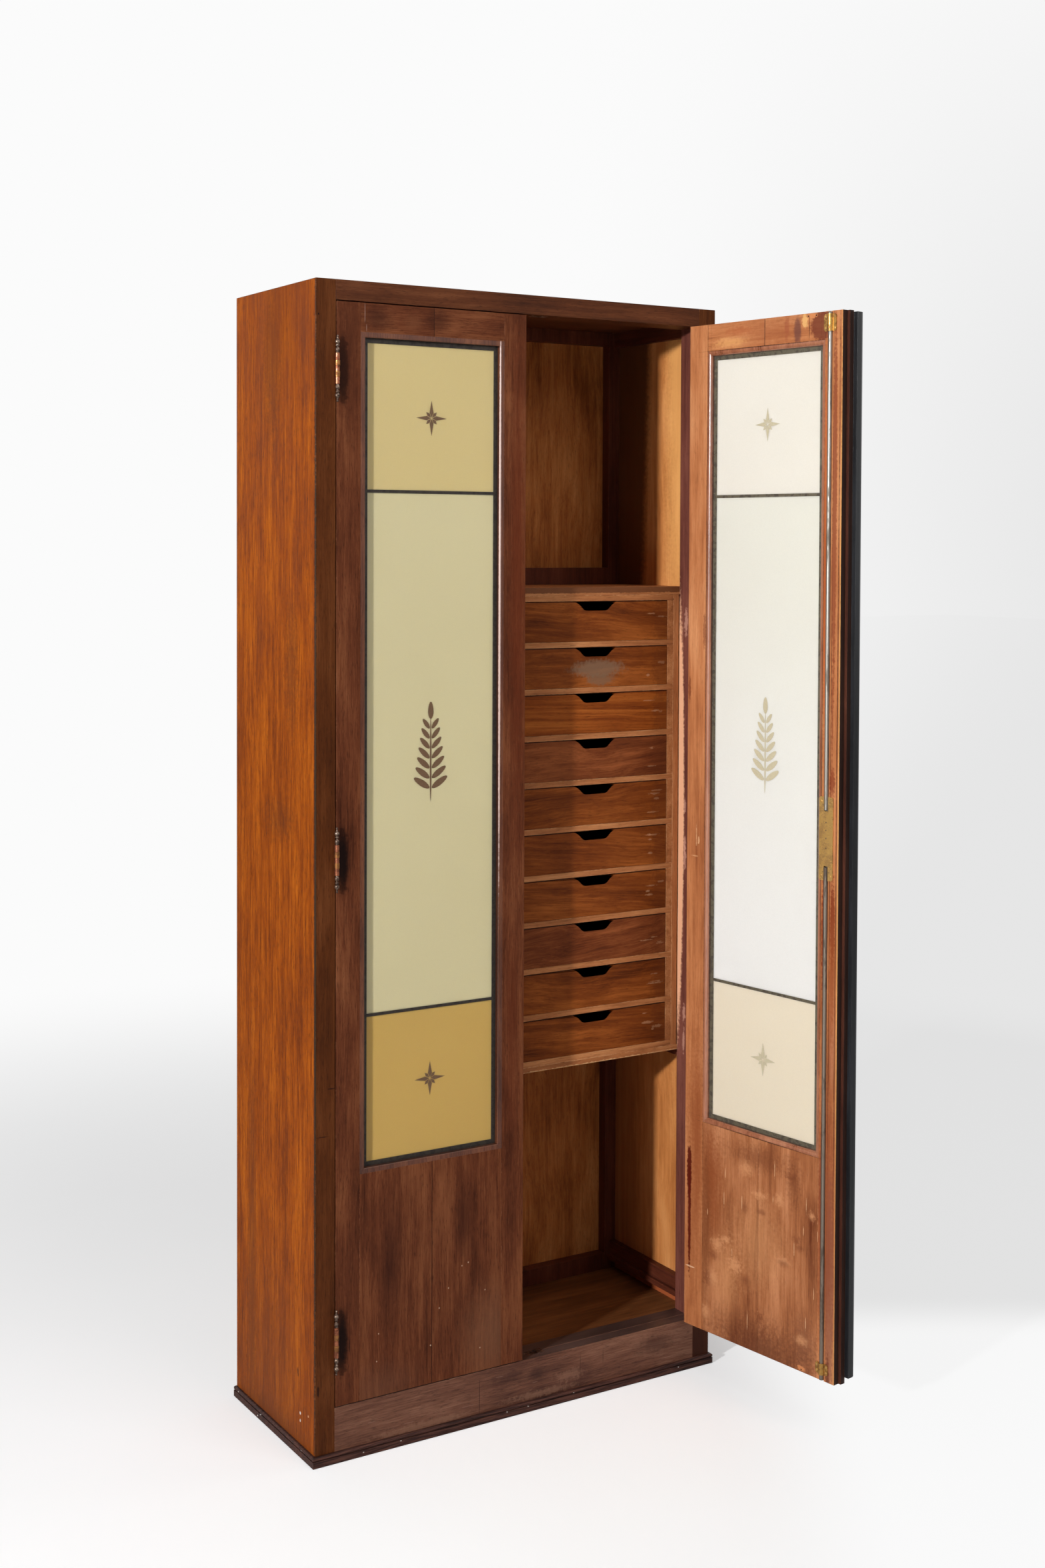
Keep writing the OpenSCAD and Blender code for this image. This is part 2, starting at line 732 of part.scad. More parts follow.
// Leaves and pins on a door, drawn from the door's hinge edge
module door_hinges() {
    color("#c9a24a") for (z = hinge_heights)
        translate([-hinge_gap / 2, -pivot_out, z - barrel_h / 2]) {
            door_leaf();
            hinge_pin();
        }
}

// Pocket in a door's hinge edge for its three leaves
module door_leaf_pockets() {
    for (z = hinge_heights)
        block([-hinge_gap, -over, z - barrel_h / 2],
              [-hinge_gap / 2 + leaf_gap + leaf_t, leaf_d, z + barrel_h / 2]);
}

// Two full-height stiles of a door whose meeting edge steps in or out behind its lip
module door_stiles(width, lip_depth, step) {
    difference() {
        block([0, 0, door_z0], [stile_w, door_t, door_z1]);
        door_leaf_pockets();
    }
    block([width - stile_w, 0, door_z0], [width, lip_depth, door_z1]);
    block([width - stile_w, lip_depth, door_z0], [width + step, door_t, door_z1]);
}

// Two boards side by side between the stiles, with a fine joint between them
module board_pair(width, z0, z1) {
    block([stile_w + board_gap, 0, z0], [width / 2 - board_gap / 2, door_t, z1]);
    block([width / 2 + board_gap / 2, 0, z0], [width - stile_w - board_gap, door_t, z1]);
}

module door_rail(width) {
    board_pair(width, glazing_z1, door_z1);
}

module door_foot_panel(width) {
    board_pair(width, door_z0, glazing_z0);
}

// Cross-section of the moulding round the glass: x in from the face, y in from the frame's edge
module bead_section(round_r) {
    flat = bead_w - round_r;
    square([bead_d, flat]);
    translate([round_r, flat]) intersection() {
        circle(r = round_r);
        translate([-round_r, 0]) square([round_r, round_r]);
    }
    translate([round_r, 0]) square([bead_d - round_r, bead_w]);
}

// One mitred length of that moulding, standing on its outer edge
module bead_strip(length, round_r) {
    intersection() {
        rotate([90, 0, 90]) linear_extrude(length) bead_section(round_r);
        translate([0, bead_d, 0]) rotate([90, 0, 0]) linear_extrude(bead_d)
            polygon([
                [seam, 0], [length - seam, 0], [length - bead_w - seam, bead_w], [bead_w + seam, bead_w],
            ]);
    }
}

// Four mitred strips round the glass, on the outer side
module bead_ring(width, round_r) {
    across = width - 2 * stile_w;
    up = glazing_z1 - glazing_z0;
    translate([stile_w, 0, glazing_z0]) {
        bead_strip(across, round_r);
        translate([0, 0, up]) mirror([0, 0, 1]) bead_strip(across, round_r);
        mirror([1, 0, -1]) bead_strip(up, round_r);
        translate([across, 0, 0]) mirror([1, 0, 0]) mirror([1, 0, -1]) bead_strip(up, round_r);
    }
}

module door_beads(width) {
    bead_ring(width, outer_bead_r);
    translate([0, door_t, 0]) mirror([0, 1, 0]) bead_ring(width, bead_r);
}

// Heights between which each pane is seen, from the lowest up
pane_heights = [
    [glazing_z0 + sight, lower_bar_z - bar_w / 2],
    [lower_bar_z + bar_w / 2, upper_bar_z - bar_w / 2],
    [upper_bar_z + bar_w / 2, glazing_z1 - sight],
];

// How far pane i reaches past its sight edge, below and above
function pane_lap(i, above) =
    (above ? i < 2 : i > 0) ? (bar_w - bar_web) / 2 : came_w;

// The room of pane i in its metal frame, shrunk all round by gap
module pane_room(width, i, gap) {
    side = stile_w + sight - came_w;
    block([side + gap, bead_d + came_flange + gap / 2, pane_heights[i][0] - pane_lap(i, false) + gap],
          [width - side - gap, bead_d + came_flange + glass_t - gap / 2,
           pane_heights[i][1] + pane_lap(i, true) - gap]);
}

// Metal frame and bars that hold the three panes
module door_cames(width) {
    difference() {
        block([stile_w, bead_d, glazing_z0], [width - stile_w, bead_d + came_t, glazing_z1]);
        for (i = [0 : 2]) {
            block([stile_w + sight, 0, pane_heights[i][0]],
                  [width - stile_w - sight, door_t, pane_heights[i][1]]);
            pane_room(width, i, 0);
        }
    }
}

module door_glass(width) {
    for (i = [0 : 2]) pane_room(width, i, glass_gap);
}

module left_door_stiles() {
    color("#6a3420") in_left_door() door_stiles(left_door_w, lip_t + lip_gap, left_lip_w);
}

module left_door_rail() {
    color("#6a3420") in_left_door() door_rail(left_door_w);
}

module left_door_panel() {
    color("#6f3822") in_left_door() door_foot_panel(left_door_w);
}

module left_door_beads() {
    color("#5a2c1a") in_left_door() door_beads(left_door_w);
}

module left_door_cames() {
    color("#3c3a38") in_left_door() door_cames(left_door_w);
}

module left_door_glass() {
    color("#cfc488") in_left_door() door_glass(left_door_w);
}

module left_door_hinges() {
    in_left_door() door_hinges();
}

// Screw places on the right door's inner face: the lock plate, then the two guides
screw_places = concat(
    plate_screw_places(lock_mid_z, lock_plate_w / 2 - plate_screw_x, lock_plate_h / 2 - plate_screw_z),
    guide_screw_places(upper_guide_z, upper_guide_h),
    guide_screw_places(lower_guide_z, lower_guide_h)
);

// Four places round height z, each x and dz away from it
function plate_screw_places(z, x, dz) = [for (side = [-1, 1], end = [-1, 1]) [side * x, z + end * dz]];

function guide_screw_places(z, height) =
    plate_screw_places(z + height / 2, guide_w / 2 - guide_screw_x, height / 2 - guide_screw_z);

// A cylinder that runs inwards from depth y0 to y1 at a place on the door
module across(x, z, radius, y0, y1) {
    translate([x, y0, z]) rotate([-90, 0, 0]) cylinder(r = radius, h = y1 - y0);
}

module screw_shanks() {
    for (p = screw_places) across(rod_x + p[0], p[1], screw_r, door_t - screw_l, door_t + plate_t);
}

module lock_screws() {
    color("#6b5a3a") in_right_door() {
        screw_shanks();
        for (p = screw_places)
            across(rod_x + p[0], p[1], screw_head_r, door_t + plate_t, door_t + plate_t + screw_head_h);
    }
}

// Room for the rods along the door's inner face
module rod_groove() {
    translate([rod_x, rod_y, door_z0 - over]) cylinder(r = rod_bore_r, h = door_z1 - door_z0 + 2 * over);
}

// Outer shape of the lock case in the stile
module case_block(wall) {
    block([rod_x - case_half_w + wall, case_y + wall, lock_mid_z - case_half_h + wall],
          [rod_x + case_half_w - wall, door_t + over, lock_mid_z + case_half_h - wall]);
}

module right_door_stiles() {
    color("#9a5230") in_right_door() difference() {
        door_stiles(right_door_w, lip_t, -lip_w);
        rod_groove();
        case_block(0);
        screw_shanks();
        across(rod_x, lock_mid_z, spindle_r + spindle_gap, -over, door_t);
    }
}

module right_door_rail() {
    color("#9a5230") in_right_door() door_rail(right_door_w);
}

module right_door_panel() {
    color("#9a5230") in_right_door() door_foot_panel(right_door_w);
}

module right_door_beads() {
    color("#8a4628") in_right_door() difference() {
        door_beads(right_door_w);
        screw_shanks();
    }
}

module right_door_cames() {
    color("#3c3a38") in_right_door() door_cames(right_door_w);
}

module right_door_glass() {
    color("#f0ead8") in_right_door() door_glass(right_door_w);
}

module right_door_hinges() {
    in_right_door() door_hinges();
}

// Round-fronted strip on the right door that covers the joint of the doors
module cover_strip() {
    edge = right_door_w + strip_lap;
    round_r = strip_w / 2;
    color("#2b2624") in_right_door() translate([0, 0, door_z0 + strip_foot_gap]) difference() {
        linear_extrude(door_z1 - door_z0 - strip_foot_gap - strip_top_gap) {
            translate([edge - strip_w, round_r - strip_out]) square([strip_w, strip_out - round_r]);
            translate([edge - round_r, round_r - strip_out]) intersection() {
                circle(r = round_r);
                translate([-round_r, -round_r]) square([strip_w, round_r]);
            }
        }
        block([right_door_w, -strip_gap, -over], [edge + over, over, cabinet_h]);
    }
}

// A thin plate on the inner face with cut corners, its height from 0
module chamfered_plate(width, height) {
    c = plate_chamfer;
    half = width / 2;
    translate([0, door_t + plate_t, 0]) rotate([90, 0, 0]) linear_extrude(plate_t) polygon([
        [-half + c, 0], [half - c, 0], [half, c], [half, height - c],
        [half - c, height], [-half + c, height], [-half, height - c], [-half, c],
    ]);
}

// Lock case let into the stile, and its cover plate with a slot at each end for the rods
module lock_case() {
    color("#b39a5c") in_right_door() {
        difference() {
            intersection() {
                case_block(0);
                block([0, 0, 0], [right_door_w, door_t - seam, cabinet_h]);
            }
            case_block(case_wall);
            across(rod_x, lock_mid_z, spindle_r + spindle_gap, 0, door_t);
            block([rod_x - rod_bore_r, fork_y - rod_gap, lock_mid_z - lock_plate_h],
                  [rod_x + rod_bore_r, door_t + over, lock_mid_z + lock_plate_h]);
        }
        difference() {
            translate([rod_x, 0, lock_mid_z - lock_plate_h / 2]) chamfered_plate(lock_plate_w, lock_plate_h);
            for (side = [-1, 1]) translate([rod_x, 0, lock_mid_z + side * (lock_plate_h / 2 - slot_l / 2)])
                block([-rod_bore_r, door_t - over, -slot_l / 2 - (side < 0 ? over : 0)],
                      [rod_bore_r, door_t + plate_t + over, slot_l / 2 + (side > 0 ? over : 0)]);
            screw_shanks();
        }
    }
}

// A guide plate with a half-round bridge over the rod
module rod_guide(z, height) {
    difference() {
        union() {
            translate([rod_x, 0, z]) chamfered_plate(guide_w, height);
            intersection() {
                translate([rod_x, rod_y, z]) cylinder(r = rod_bore_r + guide_wall, h = height);
                block([rod_x - guide_w, door_t, z], [rod_x + guide_w, 2 * door_t, z + height]);
            }
        }
        rod_groove();
        screw_shanks();
    }
}

module rod_guides() {
    color("#c2a052") in_right_door() {
        rod_guide(upper_guide_z, upper_guide_h);
        rod_guide(lower_guide_z, lower_guide_h);
    }
}

// One rod with its fork, drawn going up from the middle of the lock; its pin slot opens inwards
module lock_rod(length) {
    round_z = lock_plate_h / 2 - slot_l + rod_slot_end;
    slot_half = drive_pin_r + fork_gap;
    inner = pin_offset - slot_half;
    arm_top = fork_arm_z + fork_arm_h;
    translate([0, rod_y, round_z]) cylinder(r = rod_r, h = length - round_z);
    block([-shank_w / 2, fork_y, fork_arm_z], [shank_w / 2, fork_y + fork_t, round_z + over]);
    block([-shank_w / 2, fork_y, fork_arm_z], [fork_reach, fork_y + fork_t, arm_top]);
    difference() {
        block([inner, fork_y, -pin_offset - fork_arm_h], [fork_reach, fork_y + fork_t, arm_top]);
        block([inner - over, fork_y - over, -pin_offset - slot_half],
              [fork_reach - fork_wall, fork_y + fork_t + over, -pin_offset + slot_half]);
    }
}

module upper_rod() {
    color("#8b8880") in_right_door() translate([rod_x, 0, lock_mid_z])
        lock_rod(door_z1 - rod_end_inset - lock_mid_z);
}

module lower_rod() {
    color("#8b8880") in_right_door() translate([rod_x, 0, lock_mid_z]) rotate([0, 180, 0])
        lock_rod(lock_mid_z - door_z0 - rod_end_inset);
}

// Turn knob on the door's outer face, its spindle, and the disc whose two pins drive the rods
module turn_knob() {
    color("#b39a5c") in_right_door() translate([rod_x, 0, lock_mid_z]) {
        across(0, 0, spindle_r, -knob_stem, disc_y + disc_t);
        across(0, 0, knob_stem_r, -knob_stem, -plate_t - spindle_gap);
        for (z = [-1, 1])
            across(0, z * (grip_h - grip_t) / 2, grip_t / 2, -knob_stem - grip_out, -knob_stem);
        block([-grip_t / 2, -knob_stem - grip_out, (grip_t - grip_h) / 2],
              [grip_t / 2, -knob_stem, (grip_h - grip_t) / 2]);
        across(0, 0, drive_r + drive_pin_r + disc_rim, disc_y, disc_y + disc_t);
        for (side = [-1, 1])
            across(side * pin_offset, -side * pin_offset, drive_pin_r,
                   disc_y + disc_t, fork_y + fork_t + spindle_gap);
    }
}

module knob_rose() {
    color("#b39a5c") in_right_door() difference() {
        across(rod_x, lock_mid_z, rose_r, -plate_t, 0);
        across(rod_x, lock_mid_z, spindle_r + spindle_gap, -plate_t - over, over);
    }
}

side_panels();
front_posts();
back_frame();
top_panel();
top_front_rail();
kick_rail();
floor_board();
side_battens();
back_panel();
middle_partition();
left_shelves();
base_moulding();
base_bearers();
chest_case();
drawer_rails();
drawer_runners();
frame_hinge_leaves();
strike_plates();
left_door_stiles();
left_door_rail();
left_door_panel();
left_door_beads();
left_door_cames();
left_door_glass();
left_door_hinges();
right_door_stiles();
right_door_rail();
right_door_panel();
right_door_beads();
right_door_cames();
right_door_glass();
right_door_hinges();
cover_strip();
lock_case();
rod_guides();
lock_screws();
upper_rod();
lower_rod();
turn_knob();
knob_rose();
for (i = [1 : drawer_count]) {
    drawer_front(i);
    drawer_box(i);
}
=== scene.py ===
"""Dresses the card file cabinet: wood finishes, worn edges, fittings, etched glass, studio and camera.

Fields and marks are in millimetres, apart from the studio's, which are in metres, watts and degrees. Colours are as
they look on a screen, from 0 to 255.
"""

from __future__ import annotations

import json
import logging
import math
import random
from dataclasses import dataclass, field
from enum import Enum
from typing import Callable, ClassVar, Sequence

import bpy
from mathutils import Matrix, Vector


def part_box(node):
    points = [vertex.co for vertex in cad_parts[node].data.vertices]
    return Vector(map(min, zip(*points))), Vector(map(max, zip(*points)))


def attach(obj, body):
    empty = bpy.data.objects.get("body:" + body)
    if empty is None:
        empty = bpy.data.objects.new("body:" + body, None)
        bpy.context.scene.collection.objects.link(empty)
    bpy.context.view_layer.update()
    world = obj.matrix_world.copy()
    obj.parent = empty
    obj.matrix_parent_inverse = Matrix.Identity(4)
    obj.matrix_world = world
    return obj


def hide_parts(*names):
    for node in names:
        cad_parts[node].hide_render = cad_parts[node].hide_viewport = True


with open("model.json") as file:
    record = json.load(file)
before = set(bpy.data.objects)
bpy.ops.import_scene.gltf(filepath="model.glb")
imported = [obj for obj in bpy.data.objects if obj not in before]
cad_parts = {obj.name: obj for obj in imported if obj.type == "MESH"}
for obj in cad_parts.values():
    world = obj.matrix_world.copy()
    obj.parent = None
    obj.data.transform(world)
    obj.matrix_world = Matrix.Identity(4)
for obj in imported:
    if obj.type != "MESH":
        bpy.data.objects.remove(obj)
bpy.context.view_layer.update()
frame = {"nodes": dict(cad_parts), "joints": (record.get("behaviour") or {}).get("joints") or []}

LOG = logging.getLogger("cabinet")
MM = 0.001
Rgb = tuple[float, float, float]
Piece = bpy.types.Object
Face = bpy.types.MeshPolygon
Material = bpy.types.Material


def linear(colour: Rgb) -> tuple[float, float, float, float]:
    """Turns a colour as it looks on a screen into the shader's own scale.

    Args:
        colour: Red, green and blue from 0 to 255.

    Returns:
        Linear red, green and blue with a full alpha.
    """
    def channel(value: float) -> float:
        """One channel, by the usual screen curve."""
        share = value / 255
        return share / 12.92 if share <= 0.04045 else ((share + 0.055) / 1.055) ** 2.4

    return (channel(colour[0]), channel(colour[1]), channel(colour[2]), 1.0)


class Grain(Enum):
    """The way that a board's grain runs."""

    ACROSS = 0
    DEEP = 1
    UPRIGHT = 2


class Facing(Enum):
    """The axis that a marked face looks along."""

    SIDE = 0
    FRONT = 1


class Side(Enum):
    """Which way a door's width runs from its hinge edge, in the closed cabinet."""

    LEFT = 1
    RIGHT = -1


class Shade:
    """A node's output that can be written in sums, products and differences."""

    def __init__(self, graph: "Graph", socket: bpy.types.NodeSocket) -> None:
        """Keeps the socket and the graph that it belongs to."""
        self.graph = graph
        self.socket = socket

    def __add__(self, other: "Shade | float") -> "Shade":
        """Sum of two values."""
        return self.graph.math("ADD", self, other)

    __radd__ = __add__

    def __sub__(self, other: "Shade | float") -> "Shade":
        """Difference of two values."""
        return self.graph.math("SUBTRACT", self, other)

    def __rsub__(self, other: float) -> "Shade":
        """A number less this value."""
        return self.graph.math("SUBTRACT", other, self)

    def __mul__(self, other: "Shade | float") -> "Shade":
        """Product of two values."""
        return self.graph.math("MULTIPLY", self, other)

    __rmul__ = __mul__

    def __truediv__(self, other: "Shade | float") -> "Shade":
        """Quotient of two values."""
        return self.graph.math("DIVIDE", self, other)

    def __rtruediv__(self, other: float) -> "Shade":
        """A number shared out by this value."""
        return self.graph.math("DIVIDE", other, self)


class Graph:
    """The nodes of one material or world, with one method that adds any node."""

    def __init__(self, owner: Material | bpy.types.World) -> None:
        """Empties the owner's node tree, to fill it anew."""
        owner.use_nodes = True
        self.owner = owner
        self.tree = owner.node_tree
        self.tree.nodes.clear()

    @classmethod
    def of_material(cls, name: str) -> "Graph":
        """Starts an empty material of that name."""
        return cls(bpy.data.materials.new(name))

    def node(self, kind: str, settings: dict | None = None, inputs: dict | None = None,
             output: int | str = 0) -> Shade:
        """Adds a node.

        Args:
            kind: The node's type.
            settings: Its properties, set first; "stops" holds a colour ramp's places and colours.
            inputs: A number, a colour or another node's output for each of its sockets.
            output: Which of its outputs to return.

        Returns:
            The chosen output.
        """
        made = self.tree.nodes.new(kind)
        for key, value in (settings or {}).items():
            if key == "stops":
                self._set_stops(made, value)
            else:
                setattr(made, key, value)
        for key, value in (inputs or {}).items():
            if isinstance(value, Shade):
                self.tree.links.new(value.socket, made.inputs[key])
            else:
                made.inputs[key].default_value = value
        return Shade(self, made.outputs[output] if len(made.outputs) else None)

    @staticmethod
    def _set_stops(made: bpy.types.Node, stops: Sequence[tuple[float, Sequence[float]]]) -> None:
        """Gives a colour ramp its stops."""
        elements = made.color_ramp.elements
        while len(elements) < len(stops):
            elements.new(1.0)
        for element, (place, colour) in zip(elements, stops):
            element.position = place
            element.color = colour

    def math(self, operation: str, *values: "Shade | float") -> Shade:
        """A Math node on one to three values."""
        return self.node("ShaderNodeMath", {"operation": operation}, dict(enumerate(values)))

    def vector_math(self, operation: str, *values: "Shade | Sequence[float]", output: str = "Vector") -> Shade:
        """A Vector Math node on one or two vectors."""
        return self.node("ShaderNodeVectorMath", {"operation": operation}, dict(enumerate(values)), output)

    def mix(self, factor: "Shade | float", first: "Shade | Sequence[float]",
            second: "Shade | Sequence[float]", blend: str = "MIX") -> Shade:
        """Mixes two colours by a factor."""
        return self.node("ShaderNodeMix", {"data_type": "RGBA", "blend_type": blend},
                         {0: factor, 6: first, 7: second}, 2)

    def smooth(self, value: Shade, low: float, high: float) -> Shade:
        """Rises softly from 0 at low to 1 at high; low may be the larger one."""
        return self.node("ShaderNodeMapRange", {"interpolation_type": "SMOOTHSTEP"},
                         {"Value": value, "From Min": low, "From Max": high})

    def noise(self, vector: Shade, scale: float, detail: float = 2.0, roughness: float = 0.5) -> Shade:
        """Noise from 0 to 1 about a half."""
        return self.node("ShaderNodeTexNoise", inputs={"Vector": vector, "Scale": scale, "Detail": detail,
                                                       "Roughness": roughness})

    def place(self) -> Shade:
        """The point's place in the cabinet, in metres."""
        return self.node("ShaderNodeTexCoord", output="Object")

    def mapped(self, vector: Shade, move: Sequence[float] = (0, 0, 0), turn: Sequence[float] = (0, 0, 0),
               scale: Sequence[float] = (1, 1, 1)) -> Shade:
        """A place scaled, turned and moved."""
        return self.node("ShaderNodeMapping", inputs={"Vector": vector, "Location": move, "Rotation": turn,
                                                      "Scale": scale})

    def axes(self, vector: Shade) -> tuple[Shade, Shade, Shade]:
        """A vector's three numbers."""
        split = self.node("ShaderNodeSeparateXYZ", inputs={0: vector}).socket.node
        return tuple(Shade(self, split.outputs[i]) for i in range(3))

    def finish(self, colour: "Shade | Sequence[float]", height: Shade | None, bump: float, depth: float,
               varying: dict, fixed: dict) -> Material:
        """Closes the material with its surface shader.

        Args:
            colour: The base colour.
            height: The relief, from 0 to 1, or None.
            bump: Strength of the relief.
            depth: Depth of the relief in metres.
            varying: Sockets that take a link or a number, such as Roughness.
            fixed: Sockets that hold one number all over.

        Returns:
            The finished material.
        """
        inputs = {"Base Color": colour, **varying, **fixed}
        if height is not None:
            inputs["Normal"] = self.node("ShaderNodeBump",
                                         inputs={"Height": height, "Strength": bump, "Distance": depth})
        surface = self.node("ShaderNodeBsdfPrincipled", inputs=inputs)
        self.node("ShaderNodeOutputMaterial", inputs={"Surface": surface})
        return self.owner


@dataclass(frozen=True)
class Mark:
    """A stain, chip, scratch or patch on a finish, or a painted shade or painted highlight, as a soft ellipsoid."""

    centre: tuple[float, float, float]
    radii: tuple[float, float, float]
    colour: Rgb
    strength: float = 0.8
    ragged: float = 0.5
    turn: float = 0.0
    fade: float = 0.5

    def over(self, graph: Graph, place: Shade, noise: Shade, colour: Shade) -> Shade:
        """Lays the mark over a colour.

        Args:
            graph: The material's nodes.
            place: The point's place, in metres.
            noise: A noise that breaks the mark's edge.
            colour: The colour under the mark.

        Returns:
            The marked colour.
        """
        from_centre = graph.vector_math("SUBTRACT", place, [c * MM for c in self.centre])
        scaled = graph.mapped(from_centre, scale=[1 / (r * MM) for r in self.radii],
                              turn=(0, math.radians(self.turn), 0))
        reach = graph.vector_math("LENGTH", scaled, output="Value")
        mask = graph.smooth(reach + (noise - 0.5) * (2 * self.ragged), 1.0, 1.0 - self.fade)
        return graph.mix(mask * self.strength, colour, linear(self.colour))


def marks_on(facing: Facing, face: float, deep: float, *rows: Sequence) -> tuple[Mark, ...]:
    """Makes the marks on an upright face, in millimetres.

    Args:
        facing: The axis that the face looks along.
        face: The face's place on that axis.
        deep: How far the marks reach in from the face.
        rows: Each mark's place across and up, its half width and half height, then what Mark takes from its
            colour on.

    Returns:
        The marks, the lowest layer first.
    """
    marks = []
    for across, up, wide, tall, *rest in rows:
        centre, radii = [across, up], [wide, tall]
        centre.insert(facing.value, face)
        radii.insert(facing.value, deep)
        marks.append(Mark(tuple(centre), tuple(radii), *rest))
    return tuple(marks)


@dataclass(frozen=True)
class DoorSpace:
    """Where a door stands: its closed place in the cabinet, and its turn about its hinge pins."""

    side: Side
    hinge_edge: float
    face: float
    pivot: Vector
    angle: float

    @property
    def matrix(self) -> Matrix:
        """Turns the closed door to where it stands at rest."""
        pin = Matrix.Translation((self.pivot.x, self.pivot.y, 0))
        return pin @ Matrix.Rotation(self.angle, 4, "Z") @ pin.inverted()

    def flat_place(self, graph: Graph) -> Shade:
        """The point's place on the closed door, as a shader input."""
        if not self.angle:
            return graph.place()
        back = self.matrix.inverted()
        return graph.mapped(graph.place(), move=back.translation, turn=(0, 0, -self.angle))

    def box(self, node: str) -> tuple[Vector, Vector]:
        """Lowest and highest corner of a node on the closed door."""
        back = self.matrix.inverted()
        points = [back @ v.co for v in frame["nodes"][node].data.vertices]
        return (Vector([min(p[i] for p in points) for i in range(3)]),
                Vector([max(p[i] for p in points) for i in range(3)]))


def door_space(side: Side) -> DoorSpace:
    """Reads where a door stands from the frame's hinges and the left door's stiles."""
    low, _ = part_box("left_door_stiles")
    name = "left_door_hinge" if side is Side.LEFT else "right_door_hinge"
    joint = next(j for j in frame["joints"] if j["name"] == name)
    angle = 0.0 if side is Side.LEFT else -math.radians(joint["range_deg"][0])
    return DoorSpace(side, -low.x, low.y, Vector(joint["pos_m"]), angle)


@dataclass(frozen=True)
class Board:
    """How the grain lies on one piece of wood."""

    grain: Grain
    seed: float = 0.0
    tilt: float = 0.0
    split_x: float | None = None
    marks: tuple[Mark, ...] = ()
    door: DoorSpace | None = None


# How fine each of the wood's patterns is, across and along the grain, per metre.
CLOUD_SCALE = (17, 4.5)
RIBBON_SCALE = (120, 2.2)
FIBRE_SCALE = (430, 17)
PORE_SCALE = (900, 75)
WANDER_SCALE = (9, 3.5)
# How far the patterns of two boards lie apart: for each step of a board's seed, and across a joint.
SEED_STEP = (3.1, 1.7, 2.3)
JOINT_STEP = (0.83, 0.37, 1.91)


@dataclass(frozen=True)
class WoodFinish:
    """A stained and varnished wood: its tones, figure and sheen."""

    slot: str
    dark: Rgb
    mid: Rgb
    light: Rgb
    worn: Rgb
    cloud: float = 0.55
    ribbon: float = 0.35
    fibre: float = 0.3
    pore: float = 0.35
    wander: float = 0.008
    roughness: float = 0.5
    sheen: float = 0.18
    coat: float = 0.0
    bump: float = 0.3

    def _stretched(self, graph: Graph, place: Shade, board: Board, across: float, along: float) -> Shade:
        """The place squeezed across the grain and drawn out along it."""
        scale = [across] * 3
        scale[board.grain.value] = along
        return graph.mapped(place, move=[board.seed * step for step in SEED_STEP], scale=scale)

    def _fibre_place(self, graph: Graph, place: Shade, board: Board) -> Shade:
        """The place with the grain's lean and wander, and with its own grain beyond a board's joint."""
        if board.split_x is not None:
            far = graph.math("GREATER_THAN", graph.axes(place)[0], board.split_x)
            shift = graph.node("ShaderNodeCombineXYZ", inputs={i: far * step for i, step in enumerate(JOINT_STEP)})
            place = graph.vector_math("ADD", place, shift)
        if board.tilt:
            place = graph.mapped(place, turn=(0, math.radians(board.tilt), 0))
        drift = (graph.noise(self._stretched(graph, place, board, *WANDER_SCALE), 1.0) - 0.5) * (self.wander * 2)
        across = {i: drift for i in range(3) if i != board.grain.value}
        return graph.vector_math("ADD", place, graph.node("ShaderNodeCombineXYZ", inputs=across))

    def material(self, name: str, board: Board, wear: float = 0.0) -> Material:
        """Builds the finish for one piece.

        Args:
            name: The material's name.
            board: How the grain lies, and the marks on the piece.
            wear: Share of the surface where the stain is rubbed off.

        Returns:
            The material.
        """
        graph = Graph.of_material(name)
        place = board.door.flat_place(graph) if board.door else graph.place()
        grown = self._fibre_place(graph, place, board)
        cloud = graph.noise(self._stretched(graph, grown, board, *CLOUD_SCALE), 1.0, 3.0, 0.55)
        ribbon = graph.noise(self._stretched(graph, grown, board, *RIBBON_SCALE), 1.0, 3.0, 0.55)
        fibre = graph.noise(self._stretched(graph, grown, board, *FIBRE_SCALE), 1.0, 2.0, 0.65)
        dash = graph.noise(self._stretched(graph, grown, board, *PORE_SCALE), 1.0)
        fleck = graph.smooth(dash, 0.42, 0.30)
        pore = graph.smooth(dash, 0.57, 0.70)
        tone = (0.5 + (cloud - 0.5) * (self.cloud * 1.8) + (ribbon - 0.5) * (self.ribbon * 1.8)
                + (fibre - 0.5) * (self.fibre * 1.6))
        stops = [(0.15, linear(self.dark)), (0.5, linear(self.mid)), (0.85, linear(self.light))]
        colour = graph.node("ShaderNodeValToRGB", {"stops": stops}, {0: tone})
        colour = graph.mix(pore * self.pore, colour, linear(tuple(c * 0.5 for c in self.dark)))
        colour = graph.mix(fleck * (self.pore * 0.5), colour, linear(self.light))
        grime = graph.noise(place, 160.0, 3.0, 0.65)
        if wear:
            rub = graph.smooth(grime * 0.5 + graph.noise(place, 22.0, 2.0) * 0.5, 0.60 - wear * 0.2, 0.70 - wear * 0.2)
            colour = graph.mix(rub * 0.8, colour, linear(self.worn))
        for mark in board.marks:
            colour = mark.over(graph, place, grime, colour)
        roughness = self.roughness + (cloud - 0.5) * 0.25 + (fibre - 0.5) * 0.12
        height = fibre * 0.5 + ribbon * 0.3 + (1 - pore) * 0.4 + grime * 0.15
        fixed = {"Specular IOR Level": self.sheen, "Coat Weight": self.coat, "Coat Roughness": 0.25}
        return graph.finish(colour, height, self.bump, 0.0006, {"Roughness": roughness}, fixed)


